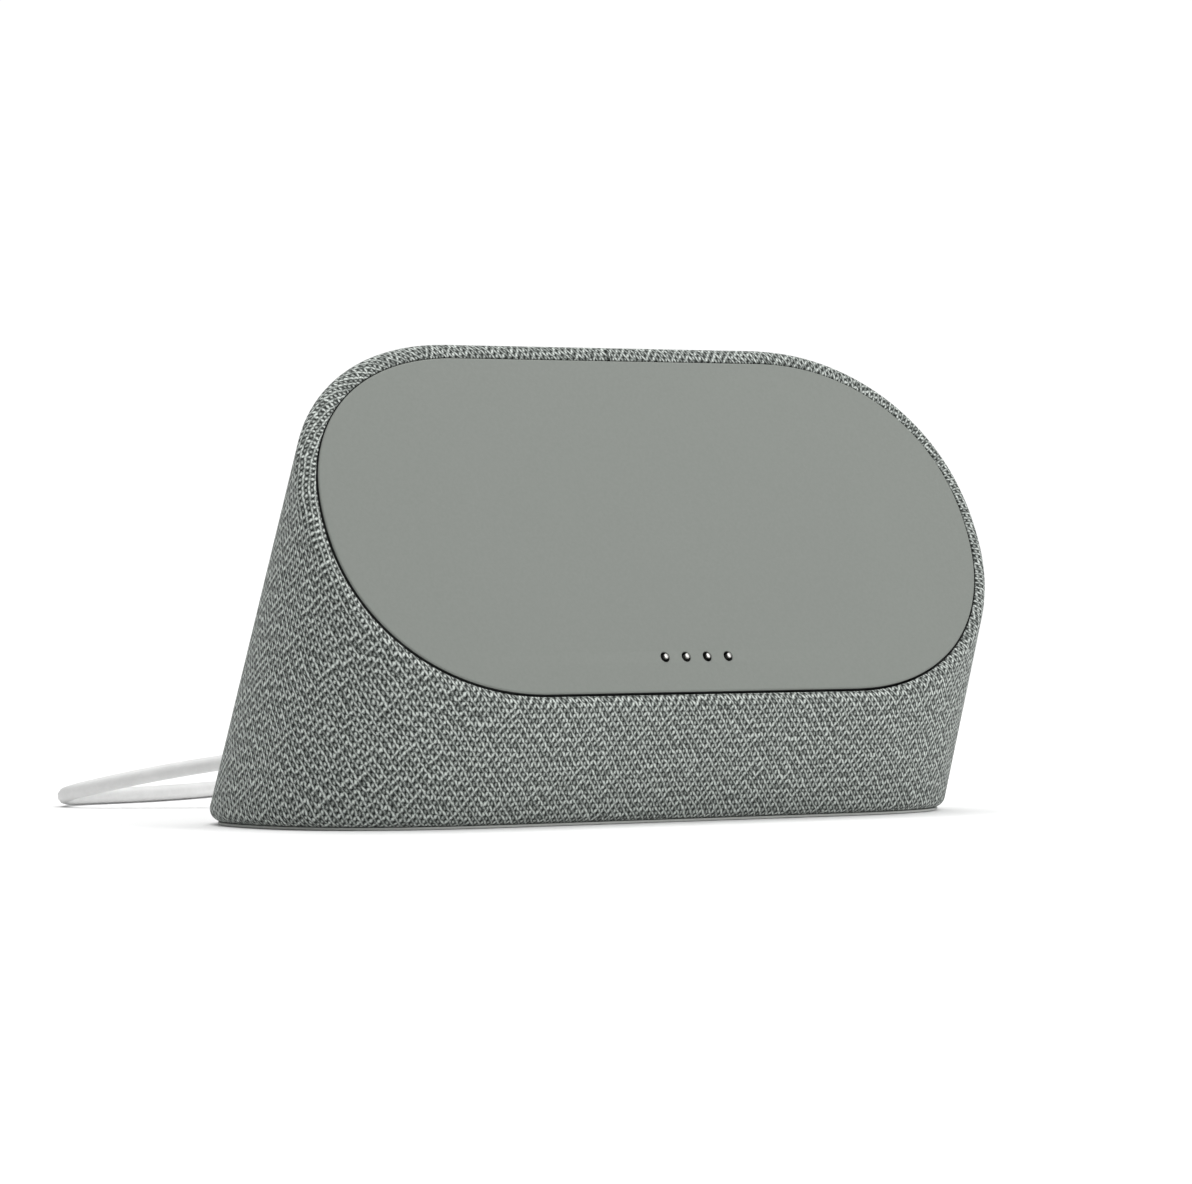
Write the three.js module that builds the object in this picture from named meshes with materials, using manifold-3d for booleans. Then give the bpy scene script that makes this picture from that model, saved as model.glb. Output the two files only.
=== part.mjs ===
// A fabric-covered speaker and charging dock. A tablet rests on the tilted, pill-shaped face plate, where
// magnets hold it and four sprung pins charge it. A driver behind the fabric faces the back.
//
// Millimetres. +Z is up, +X is to the right seen from the front, and +Y points to the back. The origin lies
// on the surface that the dock stands on, under the middle of the dock's box, its cord left out.

import * as THREE from "three";
import Module from "manifold-3d";
import { ConvexGeometry } from "three/addons/geometries/ConvexGeometry.js";
import { RoundedBoxGeometry } from "three/addons/geometries/RoundedBoxGeometry.js";
import { mergeVertices } from "three/addons/utils/BufferGeometryUtils.js";

const wasm = await Module();
wasm.setup();

// ---------------------------------------------------------------- driving dimensions

const gap = 0.3; // left between pieces that touch

// The face plate, in its own plane.
const facePill = { width: 161.3, height: 72.7, endLength: 42.7, power: 2.15 };
const faceTilt = THREE.MathUtils.degToRad(25.46); // back from upright
const faceCentre = new THREE.Vector3(0, -19.185, 58.9);
const faceThickness = 1.6;
const faceEdgeRadius = 0.6;

// The footprint of the body.
const basePill = { width: 169, height: 62.8, endLength: 42.5, power: 2.42 };
const baseCentreY = 4.015;

// The body between them: a rolled rim round the face, straight walls, and a small radius at the hem.
const rimOffset = 3.75; // how far the rim stands outside the face plate's edge
const rimDrop = 0.3; // how far the rim lies behind the face plate's surface
const rimRadius = 2.1;
const rimSweep = THREE.MathUtils.degToRad(150);
const hemHeight = 1.7; // of the fabric's lower edge above the surface
const hemRadius = 2.5;
const recessOffset = 0.4; // clearance round the face plate

// Walls.
const fabricThickness = 0.9;
const wallThickness = 2.2;
const housingInset = fabricThickness + gap;
const cavityInset = housingInset + wallThickness;

// Layers behind the face plate, as levels along its outward normal.
const carrierFront = -faceThickness - gap;
const carrierThickness = 2.2;
const carrierBack = carrierFront - carrierThickness;
const ledgeFront = carrierBack - gap;
const ledgeThickness = 2;
const ledgeBack = ledgeFront - ledgeThickness;
const ledgeWidth = 5;

// Layers under the body, as heights.
const footThickness = 1.4;
const footInset = 1.5;
const basePlateBottom = footThickness + 0.4;
const basePlateThickness = 1.8;
const basePlateTop = basePlateBottom + basePlateThickness;
const basePlateInset = 5;
const sillBottom = basePlateTop + gap;
const sillTop = 6;
const sillInset = 8;

// Contact pins.
const pinCount = 4;
const pinPitch = 5.29;
const pinSlope = -28.9; // below the face plate's centre, along its slope
const pinRadius = 0.625;
const pinHoleRadius = 1.05;
const pinProud = 0.5;
const pinTravel = 0.6;
const pinBlockDepth = 5.5;
const pinBoardThickness = 0.8;

// Docking magnets.
const magnetSize = { width: 14, height: 9, depth: 1.8 };
const magnetSlope = -8;
const magnetPlaces = [-44, -27, 27, 44];

// Driver, as levels along the back wall's outward normal.
const speakerHeight = 46;
const speakerFrameWidth = 44;
const speakerScrewPlace = 18.2;
const speakerGasketFront = -cavityInset - gap;
const speakerFrameFront = speakerGasketFront - 1 - gap;
const speakerFrameBack = speakerFrameFront - 1.4;

// Power port, plug and cord.
const portHeight = 12;
const portRadius = 4.7;
const bezelRadius = 6.2;
const plugRadius = 4.2;
const cordRadius = 1.65;
const reliefEndY = 60.3;
const coilCentre = { x: 50, y: 115.2 };
const coilRadius = 18.8; // to the middle of the turns
const coilColumns = 6;
const coilRows = 2;
const coilPitch = 3.4;
const coilBottom = 0.8;
const adapterSize = { x: 35, y: 44, z: 28 };
const adapterCentre = { x: 48.5, y: 62 };
const adapterExitHeight = 8;
const adapterReliefLength = 12;
const bladeSize = { length: 17, thickness: 1.5, height: 6.35 };
const bladeSpacing = 12.7;

// ---------------------------------------------------------------- materials

function material(color, roughness, metalness = 0) {
  return new THREE.MeshStandardMaterial({ color, roughness, metalness });
}

const fabric = material(0x7d827e, 0.95);
const softTouch = material(0x929791, 0.7);
const silicone = material(0x90928f, 0.8);
const darkPlastic = material(0x2b2d2c, 0.6);
const greyPlastic = material(0x6d716e, 0.6);
const whitePlastic = material(0xe8e8e8, 0.4);
const circuitBoard = material(0x1d3b2a, 0.5);
const copper = material(0xb87333, 0.4, 1);
const steel = material(0x9a9da0, 0.35, 1);
const nickel = material(0xcfd0d2, 0.25, 1);
const castSteel = material(0x55585a, 0.6, 1);
const ferrite = material(0x303234, 0.7);
const gold = material(0xd8b25a, 0.3, 1);
const foam = material(0x3a3a3a, 0.95);
const butyl = material(0x1c1c1c, 0.8);
const paperCone = material(0x26282a, 0.9);

// ---------------------------------------------------------------- outlines

// Points of a pill whose ends are quarter superellipses, anticlockwise, each with its outward normal.
function pillFrames(pill, quarterSteps = 9) {
  const halfHeight = pill.height / 2;
  const straight = pill.width / 2 - pill.endLength;
  const quarter = [];
  for (let i = 0; i <= quarterSteps; i++) {
    const angle = ((i / quarterSteps) * Math.PI) / 2;
    const across = Math.cos(angle) ** (2 / pill.power);
    const up = Math.sin(angle) ** (2 / pill.power);
    const normal = new THREE.Vector2(
      across ** (pill.power - 1) / pill.endLength,
      up ** (pill.power - 1) / halfHeight,
    ).normalize();
    quarter.push([straight + pill.endLength * across, halfHeight * up, normal.x, normal.y]);
  }
  const backwards = quarter.toReversed();
  return [
    ...quarter,
    ...backwards.map(([x, y, nx, ny]) => [-x, y, -nx, ny]),
    ...quarter.slice(1).map(([x, y, nx, ny]) => [-x, -y, -nx, -ny]),
    ...backwards.slice(0, -1).map(([x, y, nx, ny]) => [x, -y, nx, -ny]),
  ].map(([x, y, nx, ny]) => ({ point: new THREE.Vector2(x, y), normal: new THREE.Vector2(nx, ny) }));
}

// The pill's outline, moved outwards by offset.
function pillOutline(pill, offset = 0) {
  return pillFrames(pill).map(({ point, normal }) => point.clone().addScaledVector(normal, offset));
}

// A rectangle with round corners, centred on x and y.
function roundedRectangle(width, height, radius, x = 0, y = 0) {
  const right = width / 2 - radius;
  const top = height / 2 - radius;
  const shape = new THREE.Shape();
  shape.absarc(x + right, y + top, radius, 0, Math.PI / 2);
  shape.absarc(x - right, y + top, radius, Math.PI / 2, Math.PI);
  shape.absarc(x - right, y - top, radius, Math.PI, 1.5 * Math.PI);
  shape.absarc(x + right, y - top, radius, 1.5 * Math.PI, 2 * Math.PI);
  shape.closePath();
  return shape;
}

// ---------------------------------------------------------------- solids

// A manifold-3d solid of a closed three.js geometry.
function solid(geometry) {
  const bare = geometry.clone();
  bare.deleteAttribute("normal");
  bare.deleteAttribute("uv");
  const merged = mergeVertices(bare, 1e-4);
  return new wasm.Manifold(
    new wasm.Mesh({
      numProp: 3,
      vertProperties: merged.attributes.position.array,
      triVerts: new Uint32Array(merged.index.array),
    }),
  );
}

// The three.js geometry of a manifold-3d solid.
function geometryOf(manifold) {
  const { vertProperties, triVerts } = manifold.getMesh();
  const geometry = new THREE.BufferGeometry();
  geometry.setAttribute("position", new THREE.BufferAttribute(vertProperties, 3));
  geometry.setIndex(new THREE.BufferAttribute(triVerts, 1));
  geometry.computeVertexNormals();
  return geometry;
}

// The outline stood up between two levels of local Z.
function prism(outline, from, to, curveSegments = 3) {
  const shape = outline instanceof THREE.Shape ? outline : new THREE.Shape(outline);
  return new THREE.ExtrudeGeometry(shape, { depth: to - from, bevelEnabled: false, curveSegments })
    .translate(0, 0, from);
}

// A cylinder along local Z, between two levels.
function rod(radius, from, to, x = 0, y = 0, segments = 12) {
  return new THREE.CylinderGeometry(radius, radius, to - from, segments)
    .rotateX(Math.PI / 2)
    .translate(x, y, (from + to) / 2);
}

function block(width, depth, height, x = 0, y = 0, z = 0) {
  return new THREE.BoxGeometry(width, depth, height).translate(x, y, z);
}

// A body of revolution about local Z, from [radius, level] pairs that run outwards as the level rises.
// An open profile starts and ends on the axis; a ring's profile is closed here.
function turned(profile, segments = 24) {
  const points = profile.map(([radius, level]) => new THREE.Vector2(radius, level));
  const onAxis = points[0].x === 0 && points.at(-1).x === 0;
  if (!onAxis) points.push(points[0].clone());
  return new THREE.LatheGeometry(points, segments).rotateX(Math.PI / 2);
}

// A flat ring about local Z.
function washer(inner, outer, from, to, segments = 24) {
  return turned([[inner, from], [outer, from], [outer, to], [inner, to]], segments);
}

// A round section swept along a curve.
function tube(path, radius, steps, sides = 8) {
  const section = new THREE.Shape();
  for (let i = 0; i < sides; i++) {
    const angle = (i / sides) * 2 * Math.PI;
    const [x, y] = [radius * Math.cos(angle), radius * Math.sin(angle)];
    i ? section.lineTo(x, y) : section.moveTo(x, y);
  }
  return new THREE.ExtrudeGeometry(section, { steps, extrudePath: path });
}

function smoothPath(points) {
  return new THREE.CatmullRomCurve3(points.map((p) => new THREE.Vector3(...p)), false, "centripetal");
}

const cut = (body, ...tools) => tools.reduce((left, tool) => left.subtract(solid(tool)), body);
const join = (body, ...additions) => additions.reduce((sum, extra) => sum.add(solid(extra)), body);

// ---------------------------------------------------------------- places

const dock = new THREE.Group();

// The face frame: local X to the right, local Y up the slope, local Z out of the face.
const face = new THREE.Group();
face.position.copy(faceCentre);
face.rotation.x = Math.PI / 2 - faceTilt;
face.updateMatrix();
dock.add(face);

const onFace = (x, y, level) => new THREE.Vector3(x, y, level).applyMatrix4(face.matrix);
const faceNormal = new THREE.Vector3(0, -Math.cos(faceTilt), Math.sin(faceTilt));

// The back wall leans between the rim's roll and the hem's roll, as their common tangent.
function backWallLine() {
  const rimRoll = onFace(0, facePill.height / 2 + rimOffset - rimRadius, -rimDrop - rimRadius);
  const hemRoll = new THREE.Vector3(0, baseCentreY + basePill.height / 2 - hemRadius, hemHeight + hemRadius);
  const down = hemRoll.clone().sub(rimRoll);
  const turn = Math.asin((rimRadius - hemRadius) / down.length());
  const outward = new THREE.Vector3(0, -down.z, down.y).normalize();
  const normal = outward.multiplyScalar(Math.cos(turn)).addScaledVector(down.normalize(), Math.sin(turn));
  const distance = normal.dot(hemRoll) + hemRadius;
  const yAt = (z) => (distance - normal.z * z) / normal.y;
  return { normal, yAt };
}

const backWall = backWallLine();

// The back frame, on the back wall's outer surface at the driver's centre: local Z points out of the wall.
const back = new THREE.Group();
back.position.set(0, backWall.yAt(speakerHeight), speakerHeight);
back.quaternion.setFromRotationMatrix(
  new THREE.Matrix4().makeBasis(
    new THREE.Vector3(-1, 0, 0),
    new THREE.Vector3(0, -backWall.normal.z, backWall.normal.y),
    backWall.normal,
  ),
);
back.updateMatrix();
dock.add(back);

// The port frame: local Z points straight back, along the plug.
const port = new THREE.Group();
port.position.set(0, 0, portHeight);
port.rotation.x = -Math.PI / 2;
port.updateMatrix();
dock.add(port);

const placed = (geometry, group) => geometry.clone().applyMatrix4(group.matrix);

function addPiece(group, name, shape, look) {
  const geometry = shape.isBufferGeometry ? shape : geometryOf(shape);
  const mesh = new THREE.Mesh(geometry, look);
  mesh.name = name;
  group.add(mesh);
}

// ---------------------------------------------------------------- enclosure

// Rings of points round a pill: an arc of the given radius about the pill's outline moved by offset and set
// at a level. Angle 0 points away from the body along the levels, and 90 degrees points outwards. A radius
// under zero gives one ring inside the outline instead, square to a wall that leans by lean at the pill's top.
function rollRings(pill, offset, level, radius, sweep, lean) {
  const steps = 2;
  const sharp = radius <= 0;
  const rings = [];
  for (let i = 0; i <= (sharp ? 0 : steps); i++) {
    for (const { point, normal } of pillFrames(pill)) {
      const angle = sharp ? Math.PI / 2 + lean * normal.y : (i / steps) * sweep;
      const outline = point.clone().addScaledVector(normal, offset + radius * Math.sin(angle));
      rings.push(new THREE.Vector3(outline.x, outline.y, level + radius * Math.cos(angle)));
    }
  }
  return rings;
}

// The body's outer shape, moved inwards by inset: everything between the rim's roll and the hem's roll.
function bodyForm(inset) {
  const rimLevel = -rimDrop - rimRadius;
  const rimLean = backWall.normal.angleTo(faceNormal) - Math.PI / 2;
  const rim = rollRings(facePill, rimOffset - rimRadius, rimLevel, rimRadius - inset, rimSweep, rimLean);
  const hemLevel = hemHeight + hemRadius;
  const hemLean = Math.asin(backWall.normal.z);
  const hem = rollRings(basePill, -hemRadius, -hemLevel, hemRadius - inset, Math.PI / 2, hemLean);
  return solid(
    new ConvexGeometry([
      ...rim.map((p) => onFace(p.x, p.y, p.z)),
      ...hem.map((p) => new THREE.Vector3(p.x, baseCentreY + p.y, -p.z)),
    ]),
  );
}

const facePrism = (offset, from, to) => placed(prism(pillOutline(facePill, offset), from, to), face);
const basePrism = (offset, from, to) => prism(pillOutline(basePill, offset), from, to).translate(0, baseCentreY, 0);
const portRod = (radius, from, to) => placed(rod(radius, from, to, 0, 0, 24), port);

// The woven cover. It rolls over the rim to the face plate and under the hem to the base plate.
function makeFabricSleeve() {
  const sleeve = bodyForm(0).subtract(bodyForm(fabricThickness));
  return cut(
    sleeve,
    facePrism(recessOffset, -2, 10),
    basePrism(gap - basePlateInset, -1, 5),
    portRod(bezelRadius + gap, 20, 45),
  );
}

// The four bosses for the base screws, and the holes in them.
const baseScrewPlaces = [-1, 1].flatMap((sx) => [-1, 1].map((sy) => [41.5 * sx, baseCentreY + 21.9 * sy]));
const carrierScrewPlaces = [-1, 1].flatMap((sx) => [-1, 1].map((sy) => [33 * sx, 30.5 * sy]));
const speakerScrewPlaces = [-1, 1].flatMap((sx) =>
  [-1, 1].map((sy) => [speakerScrewPlace * sx, speakerScrewPlace * sy]),
);

// The moulded enclosure: a ledge for the face carrier in front, a sill for the base plate underneath,
// slots in front of the driver, and bosses for the screws.
function makeHousing() {
  const aheadOfLedge = placed(block(300, 300, 100, 0, 0, ledgeBack + 50), face);
  const belowSill = block(300, 300, 100, 0, 0, sillTop - 50);
  const cavity = cut(bodyForm(cavityInset), aheadOfLedge, belowSill);
  const outside = bodyForm(housingInset);
  const opened = cut(
    outside.subtract(cavity),
    facePrism(recessOffset, ledgeFront, 10),
    facePrism(-ledgeWidth, ledgeBack - 2, 10),
    basePrism(gap - basePlateInset, 0, sillBottom),
    basePrism(-sillInset, 0, sillTop + 1),
    portRod(bezelRadius + gap, 20, 45),
  );
  const bossed = join(
    opened,
    ...carrierScrewPlaces.map(([x, y]) => placed(rod(2.6, ledgeBack - 3.5, ledgeBack + 0.5, x, y), face)),
    ...speakerScrewPlaces.map(([x, y]) => placed(rod(2.6, speakerFrameFront + gap, -3, x, y), back)),
    ...baseScrewPlaces.map(([x, y]) => rod(3, sillBottom, 12, x, y)),
  ).intersect(outside);
  const slots = [];
  for (let x = -15; x <= 15; x += 5) {
    const length = 2 * Math.sqrt(17.5 ** 2 - x ** 2);
    slots.push(placed(block(2.6, length, 6, x, 0, -2.5), back));
  }
  return cut(
    bossed,
    ...slots,
    ...carrierScrewPlaces.map(([x, y]) => placed(rod(1.3, ledgeBack - 2.6, ledgeFront + 1, x, y), face)),
    ...speakerScrewPlaces.map(([x, y]) => placed(rod(1.3, speakerFrameFront, -2.2, x, y), back)),
    ...baseScrewPlaces.map(([x, y]) => rod(1.55, sillBottom - 1, 10.5, x, y)),
  );
}

// The ring round the power port, flush with the cover and a little proud of it.
function makePortBezel() {
  const ring = cut(solid(portRod(bezelRadius, 20, 45)), portRod(portRadius, 15, 50));
  return ring.intersect(bodyForm(-0.4)).subtract(bodyForm(cavityInset));
}

function addEnclosure() {
  addPiece(dock, "fabric_sleeve", makeFabricSleeve(), fabric);
  addPiece(dock, "housing_shell", makeHousing(), darkPlastic);
  addPiece(dock, "port_bezel", makePortBezel(), greyPlastic);
}

// ---------------------------------------------------------------- screws

// A pan-head screw along local Z, its head's underside at level 0, pointing down.
function screw(headRadius, headHeight, shaftRadius, length) {
  return turned([
    [0, -length],
    [shaftRadius, -length + 0.5],
    [shaftRadius, 0],
    [headRadius, 0],
    [headRadius, headHeight],
    [headRadius * 0.45, headHeight],
    [0, headHeight * 0.35],
  ], 10);
}

// Screws at [x, y] places of a group, heads at a level, pointing along local -Z, or along +Z when turned over.
function addScrews(group, name, places, level, shape, pointUp = false) {
  places.forEach(([x, y], i) => {
    const piece = pointUp ? shape.clone().rotateX(Math.PI) : shape.clone();
    addPiece(group, `${name}_${i + 1}`, piece.translate(x, y, level), steel);
  });
}

// ---------------------------------------------------------------- face, magnets and pins

const pinPlaces = Array.from({ length: pinCount }, (_, i) => (i - (pinCount - 1) / 2) * pinPitch);

function makeFacePlate() {
  const steps = 3;
  const points = [];
  const addOutline = (offset, level) =>
    points.push(...pillOutline(facePill, offset).map((p) => new THREE.Vector3(p.x, p.y, level)));
  for (let i = 0; i <= steps; i++) {
    const angle = ((i / steps) * Math.PI) / 2;
    addOutline(faceEdgeRadius * (Math.sin(angle) - 1), faceEdgeRadius * (Math.cos(angle) - 1));
  }
  addOutline(0, -faceThickness);
  const holes = pinPlaces.map((x) => rod(pinHoleRadius, -faceThickness - 1, 1, x, pinSlope, 16));
  return cut(solid(new ConvexGeometry(points)), ...holes);
}

function makeCarrier() {
  const pockets = magnetPlaces.map((x) =>
    block(
      magnetSize.width + 2 * gap, magnetSize.height + 2 * gap, 2 * carrierThickness,
      x, magnetSlope, carrierFront,
    ).translate(0, 0, -carrierThickness / 2),
  );
  const pinHoles = pinPlaces.map((x) => rod(pinHoleRadius, carrierBack - 1, carrierFront + 1, x, pinSlope, 12));
  const headSeats = carrierScrewPlaces.map(([x, y]) => rod(2.1, carrierBack + 0.6, carrierFront + 1, x, y));
  const shaftHoles = carrierScrewPlaces.map(([x, y]) => rod(1.3, carrierBack - 1, carrierFront, x, y));
  return cut(
    solid(prism(pillOutline(facePill), carrierBack, carrierFront)),
    ...pockets, ...pinHoles, ...headSeats, ...shaftHoles,
  );
}

const pinBlockFront = carrierBack - gap;
const pinBlockBack = pinBlockFront - pinBlockDepth;
const pinStop = pinBlockFront - 0.7; // the wall that keeps the pins from coming out
const collarFront = pinStop - 0.1;
const collarBack = collarFront - 0.9;
const springFront = collarBack - pinTravel - 0.15; // clears the collar when the pin is pressed right in
const pinBoardFront = pinBlockBack - gap;

function makePinBlock() {
  const body = solid(prism(roundedRectangle(22, 4.2, 0.8, 0, pinSlope), pinBlockBack, pinBlockFront));
  const noses = pinPlaces.map((x) => rod(0.85, pinStop - 0.5, pinBlockFront + 1, x, pinSlope, 12));
  const chambers = pinPlaces.map((x) => rod(1.15, pinBlockBack - 1, pinStop, x, pinSlope, 12));
  return cut(body, ...noses, ...chambers);
}

function makePin() {
  return turned([
    [0, collarBack - 2],
    [0.45, collarBack - 2],
    [0.45, collarBack],
    [0.95, collarBack],
    [0.95, collarFront],
    [pinRadius, collarFront],
    [pinRadius, pinProud - 0.45],
    [pinRadius * 0.8, pinProud - 0.15],
    [0, pinProud],
  ], 12);
}

class Helix extends THREE.Curve {
  constructor(radius, turns, from, to) {
    super();
    Object.assign(this, { radius, turns, from, to });
  }
  getPoint(t, target = new THREE.Vector3()) {
    const angle = 2 * Math.PI * this.turns * t;
    const level = this.from + (this.to - this.from) * t;
    return target.set(this.radius * Math.cos(angle), this.radius * Math.sin(angle), level);
  }
}

function makePinSpring() {
  const wire = 0.14;
  const helix = new Helix(0.76, 4, pinBlockBack + wire, springFront - wire);
  return tube(helix, wire, 32, 5);
}

// The flat lead from the pin board's back, down and along the main board.
function makePinFlex() {
  const start = onFace(0, pinSlope, pinBoardFront - pinBoardThickness - gap);
  const path = smoothPath([
    [0, start.y, start.z],
    [0, start.y + 2.2, start.z - 1.4],
    [0, start.y + 4, start.z - 6],
    [0, -14.5, 13],
    [0, -12, 8.6],
    [0, -9, 7.75],
    [0, -5, 7.75],
  ]);
  const section = new THREE.Shape([
    new THREE.Vector2(-5, -0.12),
    new THREE.Vector2(5, -0.12),
    new THREE.Vector2(5, 0.12),
    new THREE.Vector2(-5, 0.12),
  ]);
  return new THREE.ExtrudeGeometry(section, { steps: 20, extrudePath: path });
}

function addFace() {
  addPiece(face, "face_plate", makeFacePlate(), softTouch);
  addPiece(face, "face_carrier", makeCarrier(), darkPlastic);
  addScrews(face, "carrier_screw", carrierScrewPlaces, carrierBack + 0.9, screw(1.8, 1.1, 1, 5));
  magnetPlaces.forEach((x, i) => {
    const level = carrierFront - carrierThickness / 2;
    const magnet = block(magnetSize.width, magnetSize.height, magnetSize.depth, x, magnetSlope, level);
    addPiece(face, `docking_magnet_${i + 1}`, magnet, nickel);
  });
  for (const [side, x] of [["left", -35.5], ["right", 35.5]]) {
    const yoke = prism(roundedRectangle(34, 12, 1.5, x, magnetSlope), ledgeFront - 1.2, ledgeFront);
    addPiece(face, `magnet_yoke_${side}`, yoke, steel);
  }
  addPiece(face, "pin_block", makePinBlock(), darkPlastic);
  pinPlaces.forEach((x, i) => {
    addPiece(face, `contact_pin_${i + 1}`, makePin().translate(x, pinSlope, 0), gold);
    addPiece(face, `pin_spring_${i + 1}`, makePinSpring().translate(x, pinSlope, 0), steel);
  });
  const boardBack = pinBoardFront - pinBoardThickness;
  const pinBoard = prism(roundedRectangle(26, 5.6, 0.8, 0, pinSlope + 0.4), boardBack, pinBoardFront);
  addPiece(face, "pin_board", pinBoard, circuitBoard);
  addPiece(dock, "pin_flex", makePinFlex(), copper);
}

// ---------------------------------------------------------------- driver

function makeBasket() {
  const flange = solid(
    prism(roundedRectangle(speakerFrameWidth, speakerFrameWidth, 8), speakerFrameBack, speakerFrameFront),
  );
  const cup = turned([
    [18.5, -7.4],
    [14.6, -13.3],
    [11, -13.3],
    [11, -14.5],
    [15.5, -14.5],
    [20, -8.5],
    [20, speakerFrameBack + 0.4],
    [18.5, speakerFrameBack + 0.4],
  ]);
  const shaftHoles = speakerScrewPlaces.map(([x, y]) => rod(1.3, -10, 0, x, y));
  return cut(join(flange, cup), rod(18.5, speakerFrameBack - 0.5, 0, 0, 0, 32), ...shaftHoles);
}

// A half roll of rubber between the cone's edge and the frame.
function makeSurround() {
  const middle = 16.75;
  const [outer, inner] = [1.45, 1.05];
  const steps = 5;
  const arc = (radius, i) => {
    const angle = (i / steps) * Math.PI;
    return [middle + radius * Math.cos(angle), -6.3 + radius * Math.sin(angle)];
  };
  const profile = [];
  for (let i = 0; i <= steps; i++) profile.push(arc(outer, i));
  for (let i = steps; i >= 0; i--) profile.push(arc(inner, i));
  return turned(profile);
}

function addSpeaker() {
  const gasketBack = speakerGasketFront - 1;
  addPiece(back, "speaker_gasket", washer(19, 21, gasketBack, speakerGasketFront), foam);
  addPiece(back, "speaker_basket", makeBasket(), darkPlastic);
  addPiece(back, "speaker_surround", makeSurround(), butyl);
  addPiece(back, "speaker_spider", washer(7.2, 10.7, -14.4, -13.9, 24), foam);
  addPiece(back, "speaker_cone", turned([[6.9, -12.1], [15, -6.8], [15, -6.2], [6.9, -11.5]]), paperCone);
  const cap = turned([[0, -10], [3.4, -10.4], [6.5, -11.6], [6.5, -11.2], [3.4, -10], [0, -9.6]], 24);
  addPiece(back, "speaker_dust_cap", cap, paperCone);
  addPiece(back, "voice_coil", washer(5.9, 6.6, -18, -12.4, 24), copper);
  addPiece(back, "speaker_top_plate", washer(7.2, 14, -16.2, -14.8), steel);
  addPiece(back, "speaker_magnet", washer(7.8, 14.5, -21.5, -16.5), ferrite);
  const yoke = turned([[0, -24], [14, -24], [14, -21.8], [5.3, -21.8], [5.3, -14], [0, -14]]);
  addPiece(back, "speaker_yoke", yoke, steel);
  const headLevel = speakerFrameBack - gap;
  addScrews(back, "speaker_screw", speakerScrewPlaces, headLevel, screw(1.8, 1.2, 1, 4.2), true);
}

// ---------------------------------------------------------------- electronics, base and weights

const boardBottom = 5.7;
const boardTop = 7.3;
const boardCentreY = 6;
const standoffPlaces = [-1, 1].flatMap((sx) => [-1, 1].map((sy) => [34 * sx, boardCentreY + 16 * sy]));

function makeJack() {
  const [front, rear] = [13, 26.4];
  const middle = (boardTop + gap + 16.4) / 2;
  const body = solid(block(9.2, rear - front, 16.4 - boardTop - gap, 0, (front + rear) / 2, middle));
  return join(cut(body, portRod(3.1, front + 2, rear + 1)), placed(rod(0.8, front + 1, 24, 0, 0, 10), port));
}

function addElectronics() {
  const board = solid(prism(roundedRectangle(76, 40, 2, 0, boardCentreY), boardBottom, boardTop));
  addPiece(dock, "main_board", board, circuitBoard);
  const shield = prism(roundedRectangle(26, 24, 1, -22, boardCentreY), boardTop + gap, boardTop + 3.3);
  addPiece(dock, "board_shield", shield, nickel);
  addPiece(dock, "power_jack", makeJack(), darkPlastic);
  const wire = smoothPath([
    [15.5, 2, 36],
    [17.5, -1, 30],
    [22, 0, 20],
    [24, 3, 12],
    [24, 5, 8.6],
  ]);
  addPiece(dock, "speaker_wire", tube(wire, 0.8, 16), copper);
}

// A weight at each end, shaped to the round end of the base.
function makeBallast(side) {
  const inner = 46;
  const outline = pillOutline(basePill, -10.5).filter((p) => p.x * side > inner);
  const ends = [outline[0], outline.at(-1)];
  const sorted = side > 0 ? outline.toSorted((a, b) => a.y - b.y) : outline.toSorted((a, b) => b.y - a.y);
  const reach = Math.max(...ends.map((p) => Math.abs(p.y)), ...outline.map((p) => Math.abs(p.y)));
  const corners = [new THREE.Vector2(side * inner, side * reach), new THREE.Vector2(side * inner, -side * reach)];
  return prism([...sorted, ...corners], basePlateTop + gap, 17).translate(0, baseCentreY, 0);
}

function addBase() {
  addPiece(dock, "ballast_left", makeBallast(-1), castSteel);
  addPiece(dock, "ballast_right", makeBallast(1), castSteel);
  const plate = join(
    solid(basePrism(-basePlateInset, basePlateBottom, basePlateTop)),
    ...standoffPlaces.map(([x, y]) => rod(2.2, basePlateTop - 0.5, boardBottom - gap, x, y)),
  );
  const screwHoles = baseScrewPlaces.map(([x, y]) => rod(1.55, 0, sillBottom, x, y));
  const headSeats = baseScrewPlaces.map(([x, y]) => rod(2.6, 0, basePlateTop - 0.6, x, y));
  addPiece(dock, "base_plate", cut(plate, ...screwHoles, ...headSeats), darkPlastic);
  addScrews(dock, "base_screw", baseScrewPlaces, basePlateTop - 0.7, screw(2.3, 1, 1.25, 7), true);
  const foot = solid(basePrism(-footInset, 0, footThickness));
  addPiece(dock, "foot_pad", foot, silicone);
}

// ---------------------------------------------------------------- cord

// The free cord from the strain relief: out and round in a loop behind the left end, then back along the
// surface to the coil. Each point is [x, y, z] of its middle line.
const runPoints = [
  [0, reliefEndY + gap, portHeight],
  [0, 62.6, 12],
  [-0.9, 66, 12],
  [-4, 71.5, 12],
  [-11, 77, 11.7],
  [-20, 80.8, 10.9],
  [-34, 85.3, 9.2],
  [-45, 90.3, 7.3],
  [-53.5, 96.3, 5.2],
  [-58.6, 103.6, 3.1],
  [-55.5, 110.2, 1.9],
  [-45, 113.6, 1.7],
  [-32, 116.5, 1.7],
  [-18, 122.6, 1.7],
  [-5, 130, 1.7],
  [8, 136.8, 1.7],
  [21, 141.2, 1.9],
  [36, 142.5, 2.6],
];

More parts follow.
